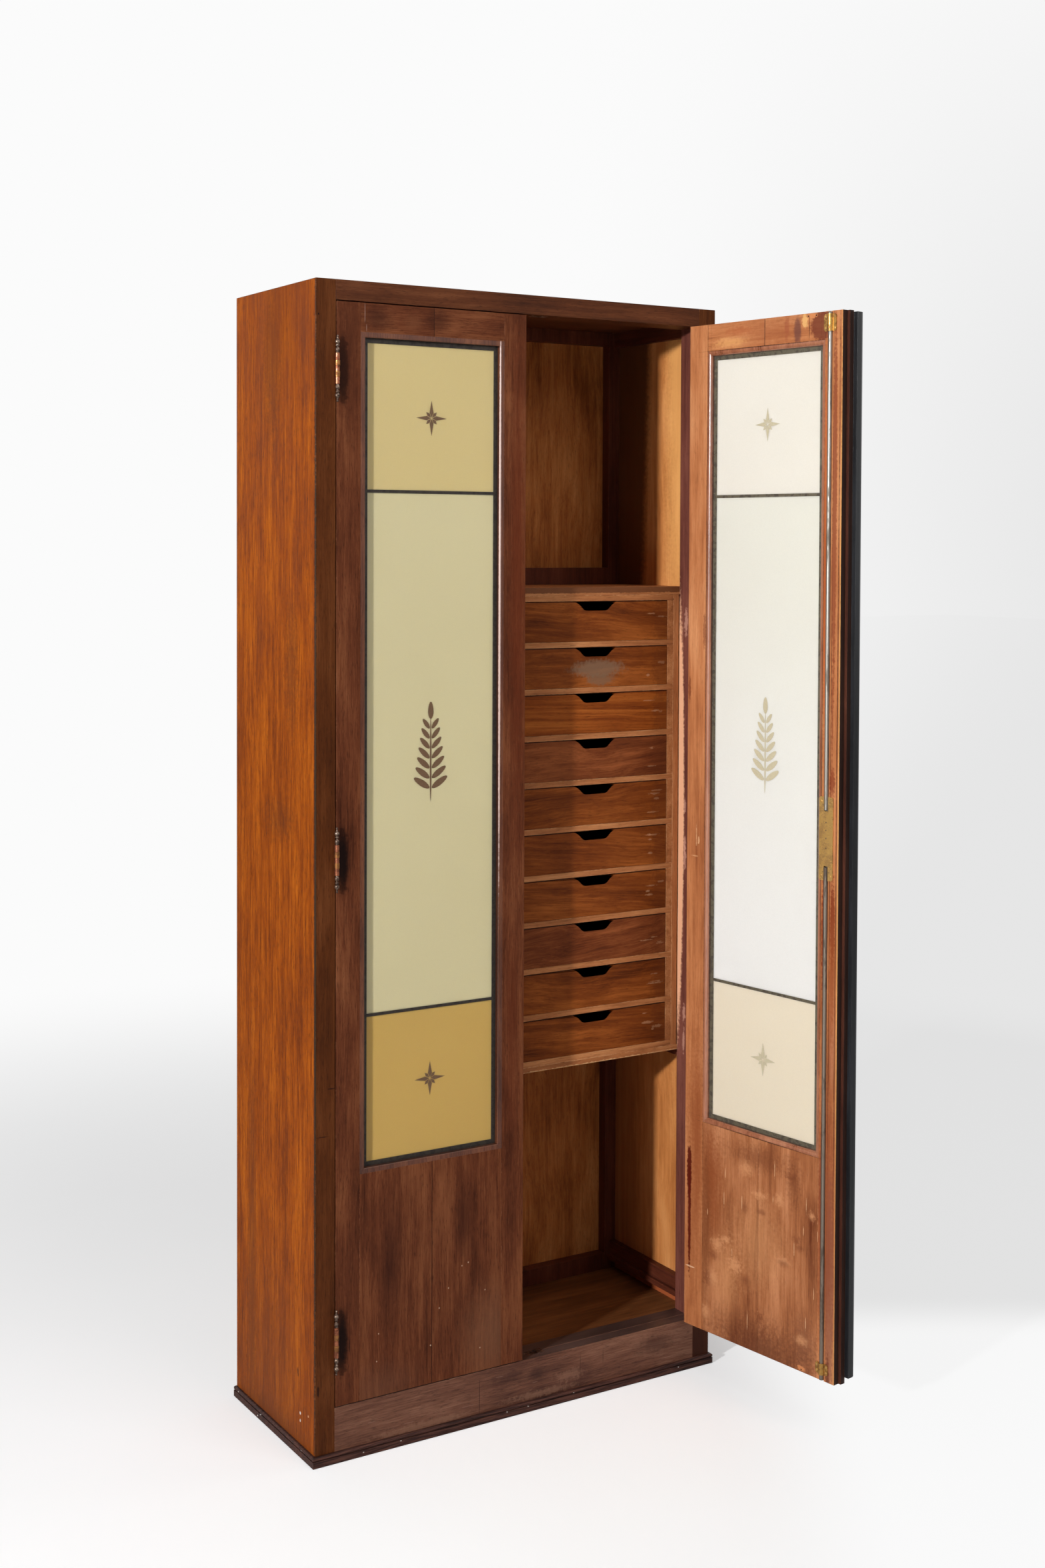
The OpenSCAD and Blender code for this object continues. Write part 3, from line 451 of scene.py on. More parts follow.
@dataclass(frozen=True)
class MetalFinish:
    """A metal with tarnish in patches."""

    slot: str
    bright: Rgb
    tarnish: Rgb
    dirt: Rgb
    cover: float = 0.5
    roughness: float = 0.3
    scale: float = 60.0
    drawn: float = 1.0
    metallic: float = 0.8

    def material(self, name: str) -> Material:
        """Builds the metal; drawn above 1 stretches its pattern along the height."""
        graph = Graph.of_material(name)
        place = graph.mapped(graph.place(), scale=(1, 1, 1 / self.drawn))
        patch = graph.noise(place, self.scale, 5.0, 0.65)
        fine = graph.noise(place, self.scale * 9, 3.0, 0.6)
        cover = graph.smooth(patch + (fine - 0.5) * 0.3, 0.62 - self.cover * 0.3, 0.68 - self.cover * 0.2)
        colour = graph.mix(cover, linear(self.bright), linear(self.tarnish))
        spots = graph.smooth(fine * 0.6 + patch * 0.4, 0.56, 0.70)
        colour = graph.mix(spots * 0.6, colour, linear(self.dirt))
        roughness = self.roughness + cover * 0.22 + (fine - 0.5) * 0.25
        metallic = self.metallic - spots * 0.25
        return graph.finish(colour, fine * 0.6 + patch * 0.4, 0.18, 0.0004,
                            {"Roughness": roughness, "Metallic": metallic}, {})


@dataclass(frozen=True)
class GlassFinish:
    """Frosted glass: warm tints on its outer side, cream ones on its inner side, low to high, with painted light
    lightening the inner middle pane towards its foot.
    """

    slot: str
    outer: tuple[Rgb, Rgb, Rgb]
    inner: tuple[Rgb, Rgb, Rgb]
    inner_painted_glow: Rgb

    def _panes(self, graph: Graph, z: Shade, tints: tuple[Rgb, Rgb, Rgb], bars: tuple[float, float]) -> Shade:
        """The tint at a height, one for each pane."""
        low, middle, high = (linear(t) for t in tints)
        above_low = graph.math("GREATER_THAN", z, bars[0])
        above_high = graph.math("GREATER_THAN", z, bars[1])
        return graph.mix(above_high, graph.mix(above_low, low, middle), high)

    def material(self, name: str, door: DoorSpace, mid_depth: float,
                 bars: tuple[float, float]) -> Material:
        """Builds the glass of one door.

        Args:
            name: The material's name.
            door: Where the door stands.
            mid_depth: The y of the glass's middle on the closed door.
            bars: The heights of the two bars between the panes.

        Returns:
            The material.
        """
        graph = Graph.of_material(name)
        place = door.flat_place(graph)
        _, y, z = graph.axes(place)
        inner = graph.math("GREATER_THAN", y, mid_depth)
        inside = self._panes(graph, z, self.inner, bars)
        # painted light: the inner face of the middle pane grows lighter towards its foot
        middle = graph.smooth(z, bars[1], bars[0]) * graph.math("GREATER_THAN", z, bars[0])
        inside = graph.mix(middle, inside, linear(self.inner_painted_glow))
        colour = graph.mix(inner, self._panes(graph, z, self.outer, bars), inside)
        cloud = graph.noise(place, 3.0, 2.0)
        speck = graph.noise(place, 700.0, 2.0, 0.7)
        shade = 0.94 + cloud * 0.1 + (speck - 0.5) * 0.1
        grey = graph.node("ShaderNodeCombineColor", inputs={0: shade, 1: shade, 2: shade})
        colour = graph.mix(1.0, colour, grey, "MULTIPLY")
        return graph.finish(colour, speck, 0.12, 0.0003, {"Roughness": 0.4 + (speck - 0.5) * 0.2},
                            {"Specular IOR Level": 0.3, "IOR": 1.5, "Subsurface Weight": 0.7,
                             "Subsurface Radius": (1.0, 1.0, 1.0), "Subsurface Scale": 0.012})


@dataclass(frozen=True)
class PlainFinish:
    """A dull even tone, such as the etched motifs, with a slight grain."""

    slot: str
    tone: Rgb
    other: Rgb
    scale: float = 400.0
    roughness: float = 0.6

    def material(self, name: str) -> Material:
        """Builds the tone."""
        graph = Graph.of_material(name)
        speck = graph.noise(graph.place(), self.scale, 3.0, 0.6)
        colour = graph.mix(graph.smooth(speck, 0.35, 0.65), linear(self.tone), linear(self.other))
        return graph.finish(colour, speck, 0.1, 0.0002, {"Roughness": self.roughness + (speck - 0.5) * 0.2}, {})


SIDE_VENEER = WoodFinish("side_veneer", (96, 40, 3), (138, 63, 4), (176, 93, 18), (62, 36, 26),
                         cloud=0.5, ribbon=0.36, fibre=0.8, pore=0.7, sheen=0.06)
FRAME_WOOD = WoodFinish("frame_wood", (54, 25, 10), (88, 45, 18), (116, 66, 34), (130, 80, 50), cloud=0.45,
                        ribbon=0.25, pore=0.45, sheen=0.08)
TOP_WOOD = WoodFinish("frame_wood", (58, 28, 14), (90, 48, 26), (116, 68, 41), (44, 26, 20), pore=0.45,
                      sheen=0.12)
KICK_WOOD = WoodFinish("frame_wood", (72, 42, 33), (112, 72, 55), (142, 100, 79), (154, 116, 96), cloud=0.7,
                       ribbon=0.12, fibre=0.5, pore=0.5)
SILL_WOOD = WoodFinish("frame_wood", (44, 32, 29), (72, 55, 50), (96, 76, 70), (120, 98, 90), roughness=0.32,
                       sheen=0.5, coat=0.3)
DOOR_WOOD = WoodFinish("door_wood", (58, 26, 14), (102, 54, 32), (138, 83, 52), (148, 94, 66),
                       cloud=0.6, ribbon=0.24, fibre=0.35, pore=0.5, sheen=0.08)
DOOR_INNER_WOOD = WoodFinish("door_inner_wood", (124, 62, 32), (182, 114, 70), (214, 150, 102), (222, 166, 122),
                             cloud=0.5, ribbon=0.25, fibre=0.25, pore=0.25)
INNER_PANEL_WOOD = WoodFinish("door_inner_wood", (104, 52, 28), (160, 98, 60), (198, 134, 92), (222, 166, 122),
                              cloud=0.7, ribbon=0.25, fibre=0.3, pore=0.3)
OUTER_BEAD = WoodFinish("door_wood", (58, 26, 14), (100, 53, 31), (136, 82, 51), (148, 94, 66),
                        cloud=0.6, ribbon=0.24, fibre=0.35, pore=0.5, roughness=0.4, sheen=0.25, coat=0.6)
INNER_BEAD = WoodFinish("door_inner_wood", (110, 62, 42), (158, 98, 70), (188, 128, 96), (220, 176, 150),
                        roughness=0.3, sheen=0.5, coat=0.8)
EDGE_WOOD = WoodFinish("door_inner_wood", (30, 18, 15), (48, 29, 23), (72, 44, 33), (188, 132, 74))
LIP_WOOD = WoodFinish("door_inner_wood", (44, 20, 14), (68, 34, 23), (96, 54, 38), (188, 132, 74))
INSIDE_WOOD = WoodFinish("inside_wood", (156, 90, 42), (198, 128, 70), (224, 158, 96), (208, 148, 96),
                         cloud=0.5, ribbon=0.3, fibre=0.25, pore=0.15, wander=0.02)
FLOOR_WOOD = WoodFinish("inside_wood", (72, 40, 18), (110, 66, 34), (146, 94, 52), (150, 100, 66))
DRAWER_WOOD = WoodFinish("drawer_wood", (80, 34, 9), (122, 60, 20), (160, 88, 36), (182, 116, 72),
                         cloud=0.6, ribbon=0.45, fibre=0.35, wander=0.02, sheen=0.1)
RAIL_WOOD = WoodFinish("drawer_wood", (124, 70, 38), (172, 108, 64), (206, 144, 94), (214, 158, 110))
BOX_WOOD = WoodFinish("drawer_box_wood", (150, 104, 62), (190, 142, 92), (216, 174, 122), (222, 184, 136),
                      roughness=0.65, sheen=0.1)
MOULDING_WOOD = WoodFinish("moulding_wood", (26, 13, 11), (56, 32, 27), (92, 58, 48), (110, 76, 64),
                           cloud=0.3, ribbon=0.5, fibre=1.2)
STRIP_WOOD = WoodFinish("strip_wood", (14, 14, 16), (26, 27, 30), (44, 45, 50), (62, 58, 56),
                        cloud=0.6, ribbon=0.4, pore=0.1, roughness=0.36, sheen=0.4, coat=0.25)
BACK_WOOD = WoodFinish("back_wood", (128, 70, 30), (178, 110, 54), (208, 142, 80), (216, 156, 100),
                       cloud=0.8, ribbon=0.4, fibre=0.4, pore=0.4, wander=0.02)
BACK_RAIL_WOOD = WoodFinish("frame_wood", (56, 24, 16), (88, 42, 27), (112, 60, 40), (120, 70, 48))
POST_INNER_WOOD = WoodFinish("frame_wood", (76, 38, 32), (108, 61, 51), (130, 79, 66), (206, 146, 112), sheen=0.08)
GLASS = GlassFinish("etched_glass", ((215, 175, 98), (233, 217, 169), (231, 204, 144)),
                    ((233, 217, 192), (230, 227, 212), (238, 230, 215)), (240, 238, 232))
OUTER_CAME = MetalFinish("came_metal", (50, 42, 35), (38, 31, 26), (24, 19, 16), cover=0.5, roughness=0.45,
                         scale=90, metallic=0.25)
INNER_CAME = MetalFinish("came_metal", (104, 97, 80), (78, 70, 60), (50, 43, 38), cover=0.5, roughness=0.4,
                         scale=90, metallic=0.3)
BRASS = MetalFinish("brass", (188, 144, 76), (138, 98, 52), (66, 46, 28), cover=0.5, roughness=0.3, scale=90)
BRONZE = MetalFinish("brass", (166, 112, 64), (118, 76, 44), (50, 34, 24), cover=0.55, roughness=0.3, scale=120)
OLD_BRASS = MetalFinish("old_brass", (206, 166, 100), (166, 130, 78), (96, 74, 48), cover=0.5, roughness=0.4,
                        scale=45)
COPPER = MetalFinish("copper", (172, 106, 76), (114, 66, 46), (52, 31, 24), cover=0.55, roughness=0.28, scale=120)
TARNISHED = MetalFinish("old_brass", (128, 108, 94), (70, 54, 46), (34, 26, 23), cover=0.6, roughness=0.3,
                        scale=160)
STEEL = MetalFinish("steel", (158, 153, 145), (120, 113, 104), (80, 71, 62), cover=0.5, roughness=0.36, scale=50,
                    drawn=8)
# a darker copy of the rods' steel for the lower rod, as painted shade
SHADED_STEEL = MetalFinish("steel", (136, 124, 112), (94, 82, 72), (58, 48, 42), cover=0.5, roughness=0.36,
                         scale=50, drawn=8)
MOTIF_OUTER = PlainFinish("etched_glass", (102, 74, 50), (112, 83, 58))
MOTIF_INNER = PlainFinish("etched_glass", (190, 178, 146), (198, 187, 158))


# Two CAD corners this near (m) are one; faces below the first angle (degrees) are one flat face, an edge above
# the second is rounded, and one below the third is shaded smooth.
MERGE_REACH = 0.00001
FLAT_ANGLE = 0.3
EDGE_ANGLE = 35
SMOOTH_ANGLE = 32


class Workbench:
    """The few bench tools that the pieces are made with."""

    @staticmethod
    def only(*pieces: Piece) -> None:
        """Selects these pieces and nothing else; the first is the active one."""
        bpy.ops.object.select_all(action="DESELECT")
        for piece in pieces:
            piece.select_set(True)
        bpy.context.view_layer.objects.active = pieces[0]

    @staticmethod
    def copy_node(node: str, name: str) -> Piece:
        """A merged copy of a CAD node, its flat faces whole again.

        Args:
            node: The CAD node.
            name: The new piece's name.

        Returns:
            The copy, at the origin.
        """
        piece = bpy.data.objects.new(name, frame["nodes"][node].data.copy())
        bpy.context.scene.collection.objects.link(piece)
        piece.data.materials.clear()
        Workbench.only(piece)
        bpy.ops.object.mode_set(mode="EDIT")
        bpy.ops.mesh.select_all(action="SELECT")
        bpy.ops.mesh.remove_doubles(threshold=MERGE_REACH)
        bpy.ops.mesh.dissolve_limited(angle_limit=math.radians(FLAT_ANGLE))
        bpy.ops.object.mode_set(mode="OBJECT")
        return piece

    @staticmethod
    def soften(piece: Piece, width: float, segments: int = 2, worn_slot: int = -1) -> None:
        """Rounds a piece's edges.

        Args:
            piece: The piece.
            width: Width of the rounding in millimetres.
            segments: Faces across the rounding.
            worn_slot: Material slot that the rounded edges take, or -1 for their neighbours'.
        """
        Workbench.only(piece)
        bevel = piece.modifiers.new("edges", "BEVEL")
        bevel.width = width * MM
        bevel.segments = segments
        bevel.limit_method = "ANGLE"
        bevel.angle_limit = math.radians(EDGE_ANGLE)
        bevel.material = worn_slot
        bpy.ops.object.modifier_apply(modifier=bevel.name)
        bpy.ops.object.shade_smooth_by_angle(angle=math.radians(SMOOTH_ANGLE))
        weigh = piece.modifiers.new("flat faces", "WEIGHTED_NORMAL")
        weigh.weight = 100
        weigh.keep_sharp = True
        bpy.ops.object.modifier_apply(modifier=weigh.name)

    @staticmethod
    def clear() -> None:
        """Deselects everything before a primitive is added."""
        bpy.ops.object.select_all(action="DESELECT")

    @staticmethod
    def select(piece: Piece, wanted: Callable[[Face], bool]) -> None:
        """Selects a piece's faces by a test, in object mode."""
        for vertex in piece.data.vertices:
            vertex.select = False
        for edge in piece.data.edges:
            edge.select = False
        for face in piece.data.polygons:
            face.select = wanted(face)

    @staticmethod
    def paint(piece: Piece, slot: int, wanted: Callable[[Face], bool]) -> None:
        """Gives the faces that pass a test another material slot."""
        for face in piece.data.polygons:
            if wanted(face):
                face.material_index = slot

    @staticmethod
    def settle(piece: Piece, matrix: Matrix) -> None:
        """Puts a piece's mesh in its place, so that its object stays at the origin."""
        piece.data.transform(matrix @ piece.matrix_world)
        piece.matrix_world = Matrix.Identity(4)

    @staticmethod
    def join(pieces: Sequence[Piece], name: str) -> Piece:
        """Joins pieces into one under a new name."""
        Workbench.only(*pieces)
        bpy.ops.object.join()
        pieces[0].name = name
        pieces[0].data.name = name
        return pieces[0]

    @staticmethod
    def coat(piece: Piece, material: Material) -> None:
        """Gives a piece one material in place of what it had."""
        piece.data.materials.clear()
        piece.data.materials.append(material)

    @staticmethod
    def button(corners: int, radius: float, depth: float, inset: float, rise: float,
               middle: float = 0.0) -> Piece:
        """Makes a small round head, its top drawn in and raised.

        Args:
            corners: Corners of its outline.
            radius: Its radius in metres.
            depth: Its height before the top is raised.
            inset: How far the top is drawn in.
            rise: How far the top is raised.
            middle: Height of its middle over the origin.

        Returns:
            The head, which looks up along Z.
        """
        Workbench.clear()
        bpy.ops.mesh.primitive_cylinder_add(vertices=corners, radius=radius, depth=depth, location=(0, 0, middle))
        head = bpy.context.object
        Workbench.settle(head, Matrix.Identity(4))
        Workbench.select(head, lambda f: f.normal.z > 0.9)
        bpy.ops.object.mode_set(mode="EDIT")
        bpy.ops.mesh.inset(thickness=inset)
        bpy.ops.transform.translate(value=(0, 0, rise))
        bpy.ops.object.mode_set(mode="OBJECT")
        return head

    @staticmethod
    def dress(node: str, body: str, slot: str, materials: Sequence[Material], edge: float,
              segments: int = 2) -> Piece:
        """Dresses a CAD node in finished materials, with softened edges.

        Args:
            node: The CAD node.
            body: The CAD body that it belongs to.
            slot: The record's material slot.
            materials: The piece's materials; its faces take the first.
            edge: Width of the rounding in millimetres.
            segments: Faces across the rounding.

        Returns:
            The piece, handed over to its body.
        """
        piece = Workbench.copy_node(node, f"{node}_dressed")
        for material in materials:
            piece.data.materials.append(material)
        Workbench.soften(piece, edge, segments)
        Workbench.hand_over(piece, body, slot, [node])
        return piece

    @staticmethod
    def twin(piece: Piece, matrix: Matrix) -> Piece:
        """A copy of a piece with its own mesh, moved by a matrix."""
        copy = piece.copy()
        copy.data = piece.data.copy()
        bpy.context.scene.collection.objects.link(copy)
        copy.data.transform(matrix)
        return copy

    @staticmethod
    def hand_over(piece: Piece, body: str, slot: str, replaced: Sequence[str] = ()) -> None:
        """Lets a piece ride on a body and reports it.

        Args:
            piece: The finished piece.
            body: The CAD body that it rides on.
            slot: The record's material slot; not used.
            replaced: CAD nodes that it stands for.
        """
        if replaced:
            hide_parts(*replaced)
        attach(piece, body)
        LOG.info("%s: %d faces on %s", piece.name, len(piece.data.polygons), body)


@dataclass
class WoodPiece:
    """One CAD node of wood with softened edges and a finish."""

    node: str
    body: str
    finish: WoodFinish
    board: Board
    edge: float = 0.9
    wear: float = 0.5
    others: tuple[tuple[WoodFinish, Board, Callable[[Face], bool]], ...] = ()

    def build(self, shape: Callable[[Piece], None] | None = None) -> None:
        """Makes the piece and hands it over to its body.

        Args:
            shape: Shapes the copy further before its edges are rounded.
        """
        piece = Workbench.copy_node(self.node, f"{self.node}_dressed")
        piece.data.materials.append(self.finish.material(self.node, self.board))
        piece.data.materials.append(self.finish.material(f"{self.node}_arris", self.board, self.wear))
        for slot, (other, other_board, wanted) in enumerate(self.others, 2):
            piece.data.materials.append(other.material(f"{self.node}_{slot}", other_board))
            Workbench.paint(piece, slot, wanted)
        if shape:
            shape(piece)
        Workbench.soften(piece, self.edge, worn_slot=1)
        Workbench.hand_over(piece, self.body, self.finish.slot, [self.node])


@dataclass
class Carcass:
    """The cabinet's own wood: sides, posts, rails, floor, back and moulding."""

    body: str = "root"
    front: float = field(default_factory=lambda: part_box("front_posts")[0].y)
    half_width: float = field(default_factory=lambda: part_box("side_panels")[1].x)
    moulding_out: float = 6.0

    def side_marks(self) -> tuple[Mark, ...]:
        """Wear on the left side: dark corner strip, chips near the foot and a small knot."""
        left = -self.half_width / MM
        front = self.front / MM
        white = (236, 228, 216)
        return (
            *marks_on(
                Facing.SIDE, left, 9,
                (front + 3, 1000, 3.2, 1100, (54, 34, 26), 0.85, 0.9, 0, 0.35)),
            *marks_on(
                Facing.SIDE, left, 3,
                (front + 58, 71, 2.8, 3.2, white, 1.0, 0.3, 0, 0.2),
                (front + 26, 77, 2.2, 2.6, (206, 160, 120), 1.0, 0.5, 0, 0.3),
                (front + 58, 58, 2.0, 3.0, white, 1.0, 0.3, 0, 0.2)),
            *marks_on(
                Facing.SIDE, left, 4,
                (front + 67, 139, 4, 10, (58, 28, 14), 0.8, 0.7)),
            *marks_on(
                Facing.SIDE, left, 9,
                (0, 10, 240, 60, (74, 38, 22), 0.6, 0.3, 0, 1.0),
                (96, 300, 26, 500, (96, 48, 18), 0.5, 0.5, 0, 0.8),
                (10, 1880, 60, 190, (92, 50, 16), 0.5, 0.8, 10, 0.9),
                (-70, 1350, 40, 160, (88, 44, 14), 0.45, 0.9, 0, 0.9),
                (-20, 1080, 90, 50, (92, 46, 16), 0.45, 1.0, -16, 0.9),
                (20, 20, 260, 420, (104, 56, 30), 0.5, 0.2, 0, 1.0),
                (-30, 1960, 240, 260, (110, 48, 4), 0.55, 0.2, 0, 1.0),
                (170, 1000, 40, 1100, (108, 50, 18), 0.4, 0.4, 0, 0.9)))

    def inner_side_marks(self) -> tuple[Mark, ...]:
        """The redder strip between the lowest rail and the floor board, painted shade deep in both bays, and painted
        light near the front of the wall.
        """
        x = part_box("floor_board")[1].x / MM
        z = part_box("floor_board")[1].z / MM
        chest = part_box("chest_case")
        return marks_on(
            Facing.SIDE, x, 12,
            (0, z + 8, 400, 26, (158, 78, 44), 0.9, 0.2, 0, 0.2),
            # painted shade on the deep part of the right side wall, in the upper bay
            (196, chest[1].z / MM + 1200, 190, 2400, (84, 46, 24), 0.92, 0.05, 0, 0.15),
            # painted light brightening the front strip of the right side wall, where the lamp falls
            (-70, chest[1].z / MM + 1200, 66, 2400, (246, 184, 108), 0.5, 0.3, 0, 0.6),
            # painted shade on the deep part of the right side wall, in the lower bay
            (196, chest[0].z / MM - 1200, 190, 2400, (112, 64, 34), 0.55, 0.05, 0, 0.3))

    def post_marks(self) -> tuple[Mark, ...]:
        """Cracks, dents and a dull outer edge on the left post, and a painted shadow on the foot of the right one."""
        x = -self.half_width / MM + 18
        y = self.front / MM
        return (
            *marks_on(
                Facing.FRONT, y, 6,
                (x + 12, 640, 9, 1.6, (36, 16, 12), 0.8, 0.6, 12),
                (x - 4, 560, 14, 1.3, (36, 16, 12), 0.8, 0.6, -24), (x - 12, 128, 3, 12, (28, 14, 12), 0.8, 0.6),
                (x - 13, 1940, 1.6, 2.4, (20, 10, 8), 1.0, 0.2)),
            *marks_on(
                Facing.FRONT, y + 1, 4,
                (x - 18, 1000, 2.2, 1200, (48, 42, 32), 0.85, 0.7, 0, 0.5)),
            # painted shadow of the door on the foot of the right post
            *marks_on(
                Facing.FRONT, y, 60,
                (-x, 40, 40, 56, (58, 31, 24), 0.8, 0.3, 0, 0.3)))

    def kick_marks(self) -> tuple[Mark, ...]:
        """Scuffs and pale scratches on the rail under the doors."""
        y = self.front / MM
        rng = random.Random(7)
        pale, dark = (150, 112, 96), (34, 18, 14)
        marks = [Mark((rng.uniform(-330, 330), y, rng.uniform(28, 84)), (rng.uniform(8, 26), 5, 0.8), pale, 0.5,
                      0.7, rng.uniform(-14, 14)) for _ in range(7)]
        return (
            *marks_on(
                Facing.FRONT, y, 5,
                (28, 62, 30, 22, (50, 28, 24), 0.65, 0.4, 0, 1.0),
                (-40, 70, 60, 14, (60, 34, 28), 0.5, 0.4, 0, 1.0),
                (290, 60, 70, 30, (54, 30, 25), 0.5, 0.4, 0, 1.0),
                (98, 46, 44, 14, (150, 108, 86), 0.5, 0.9, 0, 0.8),
                (-210, 24, 130, 10, (144, 104, 82), 0.5, 1.0, 0, 0.8),
                (36, 26, 90, 10, (146, 106, 84), 0.5, 1.0, 0, 0.8), (-92, 46, 0.9, 40, dark, 0.7, 0.3),
                (122, 62, 0.8, 24, dark, 0.6, 0.6, 6), (172, 64, 0.8, 22, dark, 0.6, 0.6)),
            *marks)

    def build(self) -> None:
        """Makes every piece of the carcass."""
        posts_in = abs(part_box("top_front_rail")[1].x)

        def inward(f: Face) -> bool:
            """True on a face that looks to the cabinet's middle."""
            return abs(f.normal.x) > 0.9 and f.normal.x * f.center.x < 0

        sides = Board(Grain.UPRIGHT, 1.3, marks=self.side_marks())
        inner_sides = Board(Grain.UPRIGHT, 5.1, marks=self.inner_side_marks())
        posts = Board(Grain.UPRIGHT, 2.2, marks=self.post_marks())
        inner_posts = Board(Grain.UPRIGHT, 3.4, marks=self.inner_post_marks(posts_in))
        kick = Board(Grain.ACROSS, 8.4, marks=self.kick_marks())
        moulding = Board(Grain.ACROSS, 5.5, marks=self.moulding_marks())
        for node, wood, board, edge, wear, *others in (
            ("side_panels", SIDE_VENEER, sides, 1.0, 0.8, (INSIDE_WOOD, inner_sides, inward)),
            ("front_posts", FRAME_WOOD, posts, 1.0, 0.4,
             (POST_INNER_WOOD, inner_posts, lambda f: inward(f) and abs(f.center.x) < posts_in + 2 * MM)),
            ("back_frame", BACK_RAIL_WOOD, Board(Grain.UPRIGHT, 4.0), 0.8, 0.3),
            ("top_panel", TOP_WOOD, Board(Grain.ACROSS, 0.7), 0.8, 0.4),
            ("top_front_rail", TOP_WOOD, Board(Grain.ACROSS, 6.1), 1.2, 0.5),
            ("kick_rail", KICK_WOOD, kick, 1.2, 0.5,
             (SILL_WOOD, Board(Grain.ACROSS, 9.4), lambda f: f.normal.z > 0.9)),
            ("floor_board", FLOOR_WOOD, Board(Grain.ACROSS, 3.8), 0.6, 0.3),
            ("side_battens", BACK_RAIL_WOOD, Board(Grain.DEEP, 9.2), 0.8, 0.4),
            ("back_panel", BACK_WOOD, Board(Grain.UPRIGHT, 2.9), 0.5, 0.3),
            ("middle_partition", INSIDE_WOOD, Board(Grain.UPRIGHT, 6.6), 0.8, 0.4),
            ("left_shelves", INSIDE_WOOD, Board(Grain.ACROSS, 7.7), 0.9, 0.4),
            ("base_moulding", MOULDING_WOOD, moulding, 0.5, 0.4),
            ("base_bearers", BACK_WOOD, Board(Grain.DEEP, 1.9), 0.8, 0.3),
        ):
            WoodPiece(node, self.body, wood, board, edge, wear, tuple(others)).build()
        LOG.info("carcass done")

    def inner_post_marks(self, post_x: float) -> tuple[Mark, ...]:
        """The raw back edge of the right post's inner face beside the drawers, and rubbed spots along it."""
        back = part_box("front_posts")[1].y / MM
        low, high = (c.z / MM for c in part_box("chest_case"))
        x = post_x / MM
        rng = random.Random(23)
        raw = Mark((x, back, (low + high) / 2), (5, 21, (high - low) * 0.52), (232, 176, 138), 0.92, 0.2, fade=0.25)
        rubbed = [(back - 22, rng.uniform(low, high), rng.uniform(4, 7), rng.uniform(12, 34), (198, 148, 128), 0.6,
                   0.9) for _ in range(6)]
        return (raw, *marks_on(Facing.SIDE, x, 5, *rubbed))

    def moulding_marks(self) -> tuple[Mark, ...]:
        """White specks on the base moulding."""
        rng = random.Random(11)
        y = self.front / MM - self.moulding_out
        x = -self.half_width / MM - self.moulding_out
        white = (220, 212, 204)
        before = [(rng.uniform(-400, 400), rng.uniform(3, 16), 1.6, 1.2, white, 0.9, 0.3) for _ in range(6)]
        beside = [(rng.uniform(-150, 150), rng.uniform(4, 15), 2.0, 1.4, white, 0.9, 0.3) for _ in range(4)]
        return (*marks_on(Facing.FRONT, y, 3, *before), *marks_on(Facing.SIDE, x, 3, *beside))


